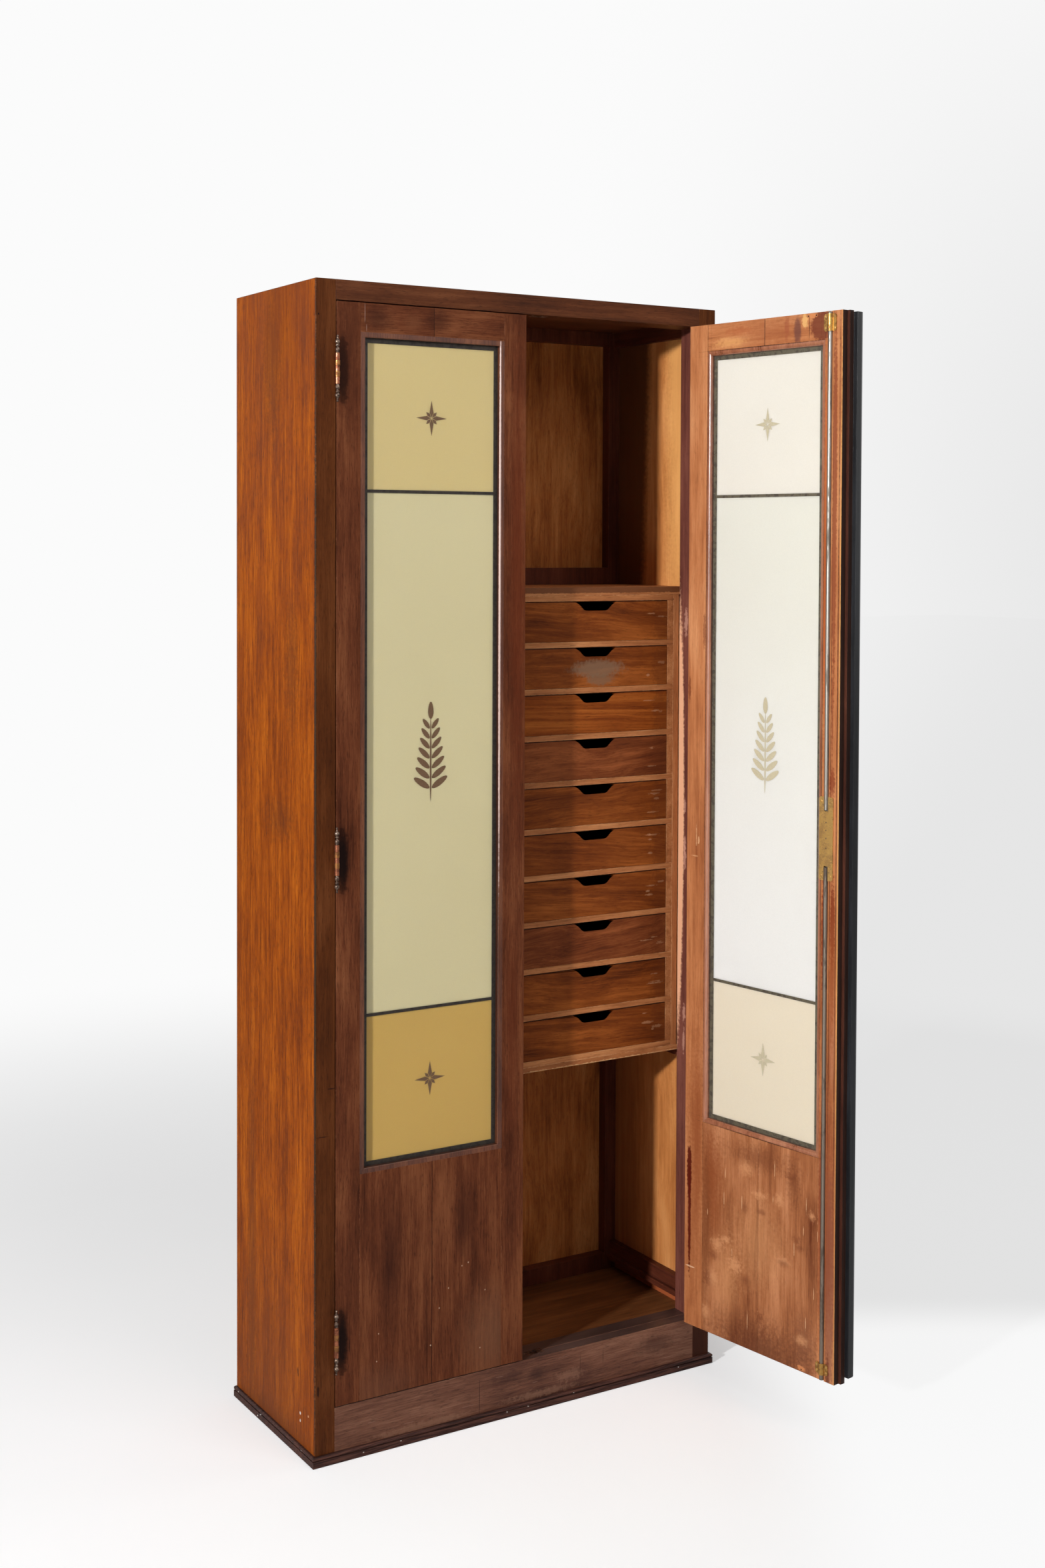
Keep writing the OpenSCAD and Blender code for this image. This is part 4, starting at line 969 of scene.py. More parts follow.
@dataclass
class Chest:
    """The chest of drawers: its boards, rails, runners and ten drawers."""

    drawers: int = 10
    notch_round: float = 10.0
    notch_foot_round: float = 5.0
    notch_half: float = 60.0
    notch_deep: float = 30.0
    runs_out: float = 7.0

    def _round_notch(self, piece: Piece) -> None:
        """Rounds the corners of a drawer front's finger notch."""
        low, high = (Vector(piece.bound_box[0]), Vector(piece.bound_box[6]))
        middle = (low.x + high.x) / 2
        for at_top, size in ((True, self.notch_round), (False, self.notch_foot_round)):
            Workbench.only(piece)
            Workbench.select(piece, lambda f: False)
            for edge in piece.data.edges:
                a, b = (piece.data.vertices[i].co for i in edge.vertices)
                along = abs(a.x - b.x) < 1e-5 and abs(a.z - b.z) < 1e-5
                near = abs(a.x - middle) < self.notch_half * MM and a.z > high.z - self.notch_deep * MM
                edge.select = along and near and (abs(a.z - high.z) < MM) == at_top
            bpy.ops.object.mode_set(mode="EDIT")
            bpy.ops.mesh.select_mode(type="EDGE")
            bpy.ops.mesh.bevel(offset=size * MM, segments=6, affect="EDGES")
            bpy.ops.object.mode_set(mode="OBJECT")

    def _front_marks(self, index: int) -> tuple[Mark, ...]:
        """The patch, scratches and stain marks that each drawer front has, and a painted shadow line along its top
        edge.
        """
        low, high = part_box(f"drawer_front_{index}")
        y = low.y / MM
        z0 = low.z / MM
        x1 = high.x / MM
        rng = random.Random(20 + index)
        pale = (206, 158, 118)
        rubbed = [(x1 - rng.uniform(8, 46), z0 + rng.uniform(12, 58), rng.uniform(5, 16), rng.uniform(1.2, 3), pale,
                   0.35, 1.2, rng.uniform(-28, 28)) for _ in range(2 if index in (1, 2, 4) else 4)]
        marks = marks_on(Facing.FRONT, y, 4, *rubbed)
        marks += marks_on(
            Facing.FRONT, y, 5,
            (x1 - 12, z0 + 34, 26, 60, (92, 44, 20), 0.35, 1.0),
            # painted shadow of the gap along the drawer front's top edge
            (x1 - 150, high.z / MM, 400, 1.5, (36, 17, 10), 0.85, 0.3, 0, 0.4))
        if index == 2:
            middle = (low.x + high.x) / 2 / MM
            marks += marks_on(
                Facing.FRONT, y, 6,
                (middle + 4, z0 + 34, 72, 20, (128, 100, 78), 0.75, 0.5),
                (middle + 10, z0 + 14, 38, 14, (124, 96, 74), 0.7, 0.5))
        return marks

    def build(self) -> None:
        """Makes the chest and its drawers."""
        low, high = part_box("drawer_rails")
        sides = (RAIL_WOOD, Board(Grain.UPRIGHT, 4.6), lambda f: abs(f.normal.y) > 0.9 and low.z < f.center.z < high.z)
        WoodPiece("chest_case", "root", RAIL_WOOD, Board(Grain.ACROSS, 2.6, marks=self._case_marks()), 0.8, 0.8,
                  (sides,)).build()
        WoodPiece("drawer_rails", "root", RAIL_WOOD, Board(Grain.ACROSS, 4.3), 0.7, 0.6).build()
        WoodPiece("drawer_runners", "root", RAIL_WOOD, Board(Grain.DEEP, 6.3), 0.5, 0.4).build()
        rng = random.Random(3)
        for index in range(1, self.drawers + 1):
            body = f"drawer_{index}"
            tilt = rng.uniform(-self.runs_out, self.runs_out)
            board = Board(Grain.ACROSS, 10 + index * 1.37, tilt, marks=self._front_marks(index))
            WoodPiece(f"drawer_front_{index}", body, self._tone(index), board, 0.7, 0.7).build(self._round_notch)
            WoodPiece(f"drawer_box_{index}", body, BOX_WOOD, Board(Grain.DEEP, 30 + index), 0.6, 0.3).build()

    @staticmethod
    def _case_marks() -> tuple[Mark, ...]:
        """The raw lower edge, the redder top edge and the painted shade of the gap under it."""
        low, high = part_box("chest_case")
        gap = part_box("drawer_front_1")[1].z / MM
        raw = ((x, low.z / MM, 34, 2.6, (216, 168, 118), 0.85, 1.2) for x in range(10, 400, 52))
        return marks_on(
            Facing.FRONT, low.y / MM, 4, *raw,
            (180, high.z / MM - 4, 900, 7, (102, 58, 32), 0.9, 0.4, 0, 0.2),
            # painted shade of the gap under the case's top edge
            (180, gap + 2.5, 900, 1.6, (34, 16, 10), 0.9, 0.2, 0, 0.4))

    @staticmethod
    def _tone(index: int) -> WoodFinish:
        """The drawer front's own tone: the third is brighter, the fourth and eighth redder and darker."""
        if index == 3:
            return WoodFinish("drawer_wood", (98, 42, 10), (134, 65, 19), (170, 94, 36), (190, 122, 70),
                              cloud=0.3, ribbon=0.8, fibre=0.3, wander=0.01, sheen=0.1)
        if index in (4, 8):
            return WoodFinish("drawer_wood", (76, 33, 14), (114, 57, 27), (148, 82, 44), (172, 108, 68),
                              cloud=0.8, ribbon=0.4, fibre=0.4, wander=0.03, sheen=0.1)
        return DRAWER_WOOD


def rod_distance(space: DoorSpace) -> float:
    """How far the lock rods lie from the right door's hinge edge, in millimetres."""
    low, high = space.box("upper_rod")
    return (space.hinge_edge - (low.x + high.x) / 2) / MM


def meeting_edge(space: DoorSpace) -> float:
    """Where the right door's seen face ends on its meeting side, in the closed cabinet, in millimetres."""
    back = space.matrix.inverted()
    points = [back @ v.co for v in frame["nodes"]["right_door_stiles"].data.vertices]
    face = max(p.y for p in points)
    return min(p.x for p in points if p.y > face - 0.0001) / MM


@dataclass
class Door:
    """One glazed door: stiles, rails, foot panel, mouldings, metal frame, glass and motifs."""

    space: DoorSpace
    wood: WoodFinish
    back_wood: WoodFinish
    body: str
    prefix: str
    bead_width: float = 9.0
    upper_bar_drop: float = 316.0
    lower_bar_rise: float = 659.5
    lip_depth: float = 14.0

    @property
    def shown(self) -> Vector:
        """The direction that the door's better seen face looks in, as it stands."""
        return self.space.matrix.to_3x3() @ Vector((0, -self.space.side.value, 0))

    def _box(self, part: str) -> tuple[Vector, Vector]:
        """Lowest and highest corner of one of the door's nodes, on the closed door."""
        return self.space.box(f"{self.prefix}_{part}")

    def _other_faces(self, seed: float) -> tuple:
        """The finish of the door's less seen face, as WoodPiece takes it."""
        shown = self.shown
        board = Board(Grain.UPRIGHT, seed, door=self.space)
        return self.back_wood, board, lambda f: f.normal.dot(shown) < -0.5

    def _meeting_edge(self, width: float) -> tuple:
        """The dark shoulder and the reddish lip on the right door's meeting edge, as WoodPiece takes them."""
        space = self.space
        outwards = space.matrix.to_3x3() @ Vector((-1, 0, 0))
        back = space.matrix.inverted()
        shown = self.shown
        board = Board(Grain.UPRIGHT, 31.0, door=space)

        def near(f: Face) -> bool:
            """True on the meeting half of the door."""
            return space.hinge_edge - (back @ f.center).x > width * 0.8

        def shoulder(f: Face) -> bool:
            """True on the face that looks away from the hinges."""
            return f.normal.dot(outwards) > 0.5 and near(f)

        def lip(f: Face) -> bool:
            """True on the lip's inner face, which lies deeper than the stile's."""
            return f.normal.dot(shown) > 0.5 and near(f) and (back @ f.center).y < space.face + self.lip_depth * MM
        return (EDGE_WOOD, board, shoulder), (LIP_WOOD, board, lip)

    def build(self) -> None:
        """Makes the door's pieces."""
        space = self.space
        low, high = self._box("panel")
        middle = (low.x + high.x) / 2
        outer = space.side is Side.LEFT
        for part, seed, edge, marks in (
            ("stiles", 1.1, 0.4 if outer else 0.8, self.stile_marks()),
            ("rail", 2.7, 0.25 if outer else 0.7, self.rail_marks()), ("panel", 3.9, 0.3, self.panel_marks()),
        ):
            grain = Grain.ACROSS if part == "rail" else Grain.UPRIGHT
            split = middle if part in ("rail", "panel") else None
            board = Board(grain, seed + (0 if outer else 20), split_x=split, marks=(*marks, *self.seam_marks()),
                          door=space)
            others = (self._other_faces(seed + 40),)
            if part == "stiles" and not outer:
                others += self._meeting_edge(high.x - low.x)
            wood = INNER_PANEL_WOOD if part == "panel" and not outer else self.wood
            WoodPiece(f"{self.prefix}_{part}", self.body, wood, board, edge, 0.45, others).build()
        bead = OUTER_BEAD if outer else INNER_BEAD
        board = Board(Grain.UPRIGHT, 1.1 if outer else 5.2, marks=(*self.seam_marks(), *self.arris_highlight_marks()),
                      door=space)
        others = (self._other_faces(45),) if outer else ()
        WoodPiece(f"{self.prefix}_beads", self.body, bead, board, 0.15 if outer else 0.4, 0.3, others).build()
        self._metal_frame()
        self._glass()
        EtchedMotifs(space, self.body, self.prefix).build()

    def seam_marks(self) -> tuple[Mark, ...]:
        """Dark grime in the joints between the mouldings, the wood and the metal frame."""
        low, high = self._box("beads")
        mid = (low + high) / 2 / MM
        half = (high - low) / 2 / MM
        dark = (40, 18, 12)
        marks = []
        rings = ((self.bead_width, 0.8),) if self.space.side is Side.LEFT else ((0, 1.5), (self.bead_width, 0.8))
        for inset, reach in rings:
            for side in (-1, 1):
                marks.append(Mark((mid.x + side * (half.x - inset), mid.y, mid.z), (reach, 40, half.z * 1.5), dark,
                                  0.8, 0.35, fade=0.7))
                marks.append(Mark((mid.x, mid.y, mid.z + side * (half.z - inset)), (half.x * 1.5, 40, reach), dark,
                                  0.8, 0.35, fade=0.7))
        return tuple(marks)

    def arris_highlight_marks(self) -> tuple[Mark, ...]:
        """A painted highlight on the inner edge of the left door's moulding on its meeting side."""
        if self.space.side is Side.RIGHT:
            return ()
        low, high = self._box("beads")
        x = high.x / MM - self.bead_width
        # painted highlight along the arris
        return (Mark((x + 1.3, low.y / MM, 1500), (2.0, 4, 620), (232, 200, 190), 0.92, 0.25, fade=0.3),)

    def stile_marks(self) -> tuple[Mark, ...]:
        """Painted hinge shadows and stains on the left door; knots and scuffs inside the right one."""
        low, high = self._box("stiles")
        heights = [height / MM for height in Hinges.heights()]
        if self.space.side is Side.LEFT:
            x, y = low.x / MM, low.y / MM
            # painted shadow of each hinge on the stile beside it
            hinge_shadows_and_stains = [Mark((x + 12, y, z - 2), (16, 5, 74), (26, 14, 12), 0.92, 0.25, fade=0.7) for z in heights]
            hinge_shadows_and_stains += marks_on(
                Facing.FRONT, y, 5,
                (x + 24, 1880, 40, 200, (76, 38, 22), 0.6, 0.5, 0, 1.0),
                (high.x / MM - 22, 1480, 26, 640, (102, 43, 20), 0.55, 0.4, 0, 0.9),
                (high.x / MM - 30, 700, 20, 260, (92, 40, 20), 0.5, 0.4, 0, 0.9))
            return (*hinge_shadows_and_stains, Mark((x + 26, y, heights[0] - 12), (1.2, 5, 16), (22, 12, 10), 0.9, 0.3, 24))
        x, y = self.space.hinge_edge / MM, high.y / MM
        red, raw, pale = (112, 30, 8), (216, 152, 118), (226, 176, 130)
        rod = rod_distance(self.space)
        end = meeting_edge(self.space)
        grooves = [Mark((x - rod - side * 4.9, y, 1040), (1.1, 6, 1400), (62, 22, 12), 0.85, 0.5, fade=0.6)
                   for side in (-1, 1)]
        return (
            *grooves,
            *marks_on(
                Facing.FRONT, y, 6,
                (end + 5.2, 1040, 1.3, 1400, (40, 18, 12), 0.85, 0.4, 0, 0.6),
                (end + 0.8, 1040, 1.3, 1400, (222, 164, 98), 0.95, 0.6, 0, 0.5)),
            *self.head_marks(),
            *marks_on(
                Facing.FRONT, y, 5,
                (x - rod + 10, 1560, 9, 420, (176, 86, 42), 0.7, 0.7, 0, 0.5),
                (x - rod - 9, 1640, 6, 380, (134, 66, 40), 0.8, 0.6, 0, 0.4),
                (x - rod + 8, 880, 5, 150, red, 0.8, 1.0, 0, 0.4),
                (x - rod - 12, 900, 6, 90, red, 0.75, 1.0, 0, 0.4),
                (x - rod - 9, 1146, 8, 30, red, 0.7, 0.8, 0, 0.5),
                (x - rod - 8, 1270, 2.2, 110, (120, 50, 26), 0.7, 0.8, 0, 0.5),
                (x - rod - 13, 720, 7, 130, raw, 0.25, 0.4, 0, 0.4),
                (x - rod - 12, 800, 12, 190, (142, 70, 32), 0.8, 0.4, 0, 0.9),
                (x - rod - 12, 250, 11, 250, (146, 94, 70), 0.8, 0.4, 0, 0.4),
                (x - rod - 9, 96, 5, 60, (92, 44, 28), 0.75, 0.6, 0, 0.5),
                (x - rod + 9, 430, 6, 150, (108, 54, 34), 0.75, 0.4, 0, 0.7),
                (x - 30, 480, 34, 280, (138, 72, 38), 0.75, 0.5, 0, 1.0),
                (x - rod, 380, 40, 330, (132, 62, 36), 0.6, 0.5, 0, 0.8),
                (x - 22, 300, 34, 300, (146, 80, 46), 0.55, 0.5, 0, 1.0),
                (x - 11, 384, 6.5, 62, (84, 16, 4), 0.95, 0.6, 3, 0.3),
                (x - 12, 296, 4.0, 120, (84, 16, 4), 0.95, 0.5, 2, 0.3),
                (x - 4, 1290, 4, 30, (110, 50, 26), 0.7, 0.6), (x - 41, 1400, 4, 40, (120, 60, 36), 0.6, 0.8),
                (x - 30, 1010, 2.4, 8, pale, 0.7, 0.9, 0, 0.3), (x - 24, 1018, 1.2, 22, pale, 0.6, 0.9, 12, 0.3),
                (x - 14, 205, 15, 1.6, (228, 186, 150), 0.7, 0.7, -12, 0.3),
                (x - 20, 980, 10, 1.2, pale, 0.5, 0.9, 30, 0.3)))

    def rail_marks(self) -> tuple[Mark, ...]:
        """Dark patches on the top rail."""
        low, high = self._box("rail")
        y = (low.y if self.space.side is Side.LEFT else high.y) / MM
        z = (low.z + high.z) / 2 / MM
        if self.space.side is Side.LEFT:
            x, line = low.x / MM, (176, 140, 124)
            return marks_on(
                Facing.FRONT, y, 5,
                ((low.x + high.x) / 2 / MM, z, 0.8, 60, (34, 16, 12), 0.85, 0.2, 0, 0.4),
                (x + 30, z, 40, 34, (44, 19, 14), 0.55, 0.3, 0, 0.9),
                (x + 150, z + 4, 34, 30, (44, 19, 14), 0.5, 0.3, 0, 0.9),
                (x + 100, z - 4, 26, 22, (128, 78, 50), 0.4, 0.3, 0, 0.9),
                (x + 7.5, z + 8, 0.6, 19, line, 0.7, 0.2, 0, 0.3),
                (x + 10.5, z - 17, 0.6, 7, line, 0.6, 0.2, 38, 0.3))
        x = self.space.hinge_edge / MM
        return (
            *marks_on(
                Facing.FRONT, y, 5,
                (x - 200, z, 130, 60, (146, 78, 46), 0.5, 0.5, 0, 1.0),
                ((low.x + high.x) / 2 / MM, z, 0.9, 60, (48, 20, 14), 0.85, 0.2, 0, 0.4),
                (x - 100, z - 12, 58, 14, (222, 162, 100), 0.6, 0.9, 0, 0.9),
                (x - 120, z + 6, 50, 12, (168, 88, 50), 0.5, 0.6, 8, 0.9),
                (x - 238, z + 4, 8, 30, (150, 78, 50), 0.6, 0.5, 6, 0.7),
                (x - 263, z - 4, 11, 30, (102, 60, 52), 0.8, 0.2, 12, 0.5)),
            *self.head_marks())

    def head_marks(self) -> tuple[Mark, ...]:
        """Where the right door's rail meets its lock stile: a dark stain, a raw patch and two old nail holes."""
        high = self._box("rail")[1]
        x, y, z = self.space.hinge_edge / MM, high.y / MM, high.z / MM
        hole = (30, 14, 10)
        return marks_on(
            Facing.FRONT, y, 5,
            (x - 320, z - 24, 30, 30, (106, 46, 30), 0.85, 0.3, 0, 0.25),
            (x - 290, z - 24, 0.8, 28, (52, 22, 14), 0.8, 0.2, 0, 0.4),
            (x - 280, z - 12, 8, 15, (224, 172, 108), 0.85, 0.9, 16, 0.4),
            (x - 297, z - 5, 15, 5, (206, 132, 82), 0.8, 0.9, 0, 0.4),
            (x - 288, z - 5, 1.7, 1.7, hole, 1.0, 0.1, 0, 0.2),
            (x - 306, z - 5, 1.7, 1.7, hole, 1.0, 0.1, 0, 0.2))

    def panel_marks(self) -> tuple[Mark, ...]:
        """Bands, flecks and scratches on the foot panel."""
        low, high = self._box("panel")
        x, x0, x1, z0 = self.space.hinge_edge / MM, low.x / MM, high.x / MM, low.z / MM
        rng = random.Random(5 if self.space.side is Side.LEFT else 6)
        if self.space.side is Side.LEFT:
            y = low.y / MM
            bands = marks_on(
                Facing.FRONT, y, 5,
                ((x0 + x1) / 2, z0 + 190, 0.8, 600, (34, 16, 12), 0.8, 0.3, 0, 0.4),
                (x0 + 62, z0 + 240, 34, 150, (48, 22, 16), 0.45, 0.15, 0, 1.0),
                (x0 + 205, z0 + 280, 30, 110, (46, 20, 15), 0.5, 0.15, 0, 1.0),
                (x1 - 20, z0 + 60, 90, 130, (138, 94, 68), 0.45, 0.15, 0, 1.0),
                (x0 + 40, z0 + 10, 110, 70, (116, 76, 56), 0.4, 0.15, 0, 1.0))
            flecks = [(rng.uniform(x0 + 30, x1 - 20), z0 + rng.uniform(20, 210), 1.4, 1.6, (206, 170, 142), 0.85, 0.4)
                      for _ in range(9)]
            return (*bands, *marks_on(Facing.FRONT, y, 5, *flecks))
        y = high.y / MM
        wide = x1 - x0
        bands = marks_on(
            Facing.FRONT, y, 5,
            (x0 + 0.5 * wide, z0 + 200, 96, 120, (214, 154, 104), 0.3, 0.6, 16, 1.0),
            (x1 - 22, z0 + 280, 44, 180, (134, 68, 34), 0.85, 0.5, 0, 1.0),
            (x0 + 30, z0 + 50, 46, 80, (126, 76, 50), 0.75, 0.6, 0, 1.0),
            (x0 + 0.78 * wide, z0 + 120, 50, 110, (206, 144, 96), 0.45, 0.6, 0, 1.0),
            (x0 + 0.5 * wide, z0 + 356, 110, 34, (112, 60, 34), 0.6, 0.7, -8, 1.0),
            (x0 + 0.2 * wide, z0 + 330, 26, 70, (104, 54, 30), 0.5, 0.8, 0, 1.0),
            (x1 - 10, z0 + 190, 20, 230, (112, 62, 34), 0.55, 0.4, 0, 1.0),
            (x0 + 0.5 * wide, z0 + 8, 190, 84, (92, 46, 26), 0.8, 0.6, 0, 1.0),
            (x - 291, z0 + 6, 10, 5, (206, 132, 82), 0.85, 0.9, 0, 0.4),
            (x - 291, z0 + 4, 1.5, 1.5, (30, 14, 10), 1.0, 0.1, 0, 0.2))
        scratches = [(rng.uniform(x0, x1), z0 + rng.uniform(20, 370), 0.8, rng.uniform(5, 20), (236, 190, 146), 0.65,
                      0.7, rng.uniform(-50, 50)) for _ in range(14)]
        mottle = [(rng.uniform(x0 + 10, x1 - 10), z0 + rng.uniform(20, 360), rng.uniform(10, 26), rng.uniform(8, 22),
                   ((116, 62, 36), (212, 150, 104))[turn % 2], 0.6, 0.9, rng.uniform(-40, 40), 1.0)
                  for turn in range(22)]
        return (*bands, *marks_on(Facing.FRONT, y, 5, *mottle, *scratches))

    def _metal_frame(self) -> None:
        """The metal frame and bars round the panes."""
        node = f"{self.prefix}_cames"
        lead = OUTER_CAME if self.space.side is Side.LEFT else INNER_CAME
        Workbench.dress(node, self.body, lead.slot, [lead.material(node)], 0.35)

    def _glass(self) -> None:
        """The three frosted panes."""
        node = f"{self.prefix}_glass"
        low, high = self.space.box(node)
        foot, top = self._box("stiles")
        upper = top.z - self.upper_bar_drop * MM
        lower = foot.z + self.lower_bar_rise * MM
        glass = GLASS.material(node, self.space, (low.y + high.y) / 2, (lower, upper))
        Workbench.dress(node, self.body, GLASS.slot, [glass], 0.4)


@dataclass
class EtchedMotifs:
    """The etched star of the top and bottom panes, and the sprig of the middle pane, on both faces."""

    space: DoorSpace
    body: str
    prefix: str
    star_heights: tuple[float, float] = (629.0, 1775.5)
    rays: tuple[tuple[float, float, float], ...] = ((28.5, 7.6, 0.28), (13.0, 5.8, 0.55))
    ray_gap: float = 1.5
    sprig_foot: float = 1112.0
    sprig_height: float = 172.0
    pairs: int = 7
    relief: float = 0.25

    def _leaf(self, length: float, width: float, waist: float, points: int = 4) -> Piece:
        """A pointed leaf that grows up from the origin.

        Args:
            length: Its length in millimetres.
            width: Its full width.
            waist: Share of the length at which it is widest.
            points: Corners of its outline: 4 for a kite, more for a round-sided leaf.

        Returns:
            The flat leaf.
        """
        Workbench.clear()
        bpy.ops.mesh.primitive_circle_add(vertices=points, radius=1, fill_type="NGON")
        leaf = bpy.context.object
        for vertex in leaf.data.vertices:
            side, up = vertex.co.x, vertex.co.y
            half = abs(side) if points == 4 else max(0.0, 1 - abs(up) ** 1.6) ** 0.5
            reach = (up + 1) * waist if up < 0 else waist + up * (1 - waist)
            vertex.co.x = math.copysign(half, side) * width / 2 * MM if abs(side) > 1e-4 else 0
            vertex.co.y = reach * length * MM
        return leaf

    def _turned(self, piece: Piece, angle: float, move: tuple[float, float]) -> Piece:
        """Turns a flat piece about the origin and moves it, in millimetres."""
        matrix = Matrix.Translation((move[0] * MM, move[1] * MM, 0)) @ Matrix.Rotation(math.radians(angle), 4, "Z")
        piece.data.transform(matrix)
        return piece

    def _star(self) -> list[Piece]:
        """Four long and four short kites with fine gaps between them."""
        star = []
        for index in range(8):
            ray = self._leaf(*self.rays[index % 2])
            ray.data.transform(Matrix.Rotation(math.radians(45 * index), 4, "Z")
                               @ Matrix.Translation((0, self.ray_gap * MM, 0)))
            star.append(ray)
        return star

    def _sprig(self) -> list[Piece]:
        """An upright sprig: a stem, pairs of leaves that grow smaller, and a leaf at its tip."""
        height = self.sprig_height
        leaves = [self._leaf(height - 20, 3.2, 0.3, 12)]
        for step in range(self.pairs):
            rise = height * (0.14 + 0.1 * step)
            size = 36 - 2.4 * step
            for side in (-1, 1):
                leaf = self._leaf(size, 11.5 - 0.6 * step, 0.45, 16)
                leaves.append(self._turned(leaf, -side * (58 - 3.5 * step), (side * 2.4, rise)))
        leaves.append(self._turned(self._leaf(30, 11, 0.4, 16), 0, (0, height - 28)))
        return leaves

    def build(self) -> None:
        """Makes the motifs on the outer and inner faces of the panes."""
        low, high = self.space.box(f"{self.prefix}_glass")
        middle = (low.x + high.x) / 2
        upright = Matrix.Rotation(math.radians(90), 4, "X")
        for face, y, finish, outward in (("outer", low.y, MOTIF_OUTER, -1), ("inner", high.y, MOTIF_INNER, 1)):
            parts = []
            for height in self.star_heights:
                for ray in self._star():
                    ray.data.transform(Matrix.Translation((middle, y, height * MM)) @ upright)
                    parts.append(ray)
            for leaf in self._sprig():
                leaf.data.transform(Matrix.Translation((middle, y, self.sprig_foot * MM)) @ upright)
                parts.append(leaf)
            motif = Workbench.join(parts, f"{self.prefix}_motifs_{face}")
            if outward > 0:
                bpy.ops.object.mode_set(mode="EDIT")
                bpy.ops.mesh.select_all(action="SELECT")
                bpy.ops.mesh.flip_normals()
                bpy.ops.object.mode_set(mode="OBJECT")
            solid = motif.modifiers.new("relief", "SOLIDIFY")
            solid.thickness = self.relief * MM
            solid.offset = 1
            bpy.ops.object.modifier_apply(modifier=solid.name)
            Workbench.coat(motif, finish.material(motif.name))
            Workbench.settle(motif, self.space.matrix)
            Workbench.hand_over(motif, self.body, finish.slot)


@dataclass
class Hinges:
    """The hinges: copper knuckles on the posts, bronze knuckles and tarnished finials on the doors."""

    barrel: float = 51.4
    rises: ClassVar[tuple[float, float]] = (112.0, 932.5)
    drop: ClassVar[float] = 113.0

    @classmethod
    def heights(cls) -> list[float]:
        """The heights of the hinges' middles, from the lowest up, in metres."""
        low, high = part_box("left_door_stiles")
        return [*(low.z + rise * MM for rise in cls.rises), high.z - cls.drop * MM]

    def _paint_tips(self, piece: Piece) -> None:
        """Gives the finials beyond a hinge's knuckles the tarnished metal."""
        half = (self.barrel / 2 + 0.1) * MM
        Workbench.paint(piece, 1, lambda f: all(abs(f.center.z - z) > half for z in self.heights()))

    def build(self) -> None:
        """Makes the hinge pieces of posts and doors."""
        Workbench.dress("frame_hinge_leaves", "root", COPPER.slot, [COPPER.material("copper")], 0.5, 3)
        for side in ("left", "right"):
            node = f"{side}_door_hinges"
            metals = [BRONZE.material(f"{node}_brass"), TARNISHED.material(f"{node}_tips")]
            self._paint_tips(Workbench.dress(node, f"{side}_door", BRONZE.slot, metals, 0.4, 3))


# Turns a head that looks up so that it looks along +Y.
FACE_BACK = Matrix.Rotation(math.radians(-90), 4, "X")


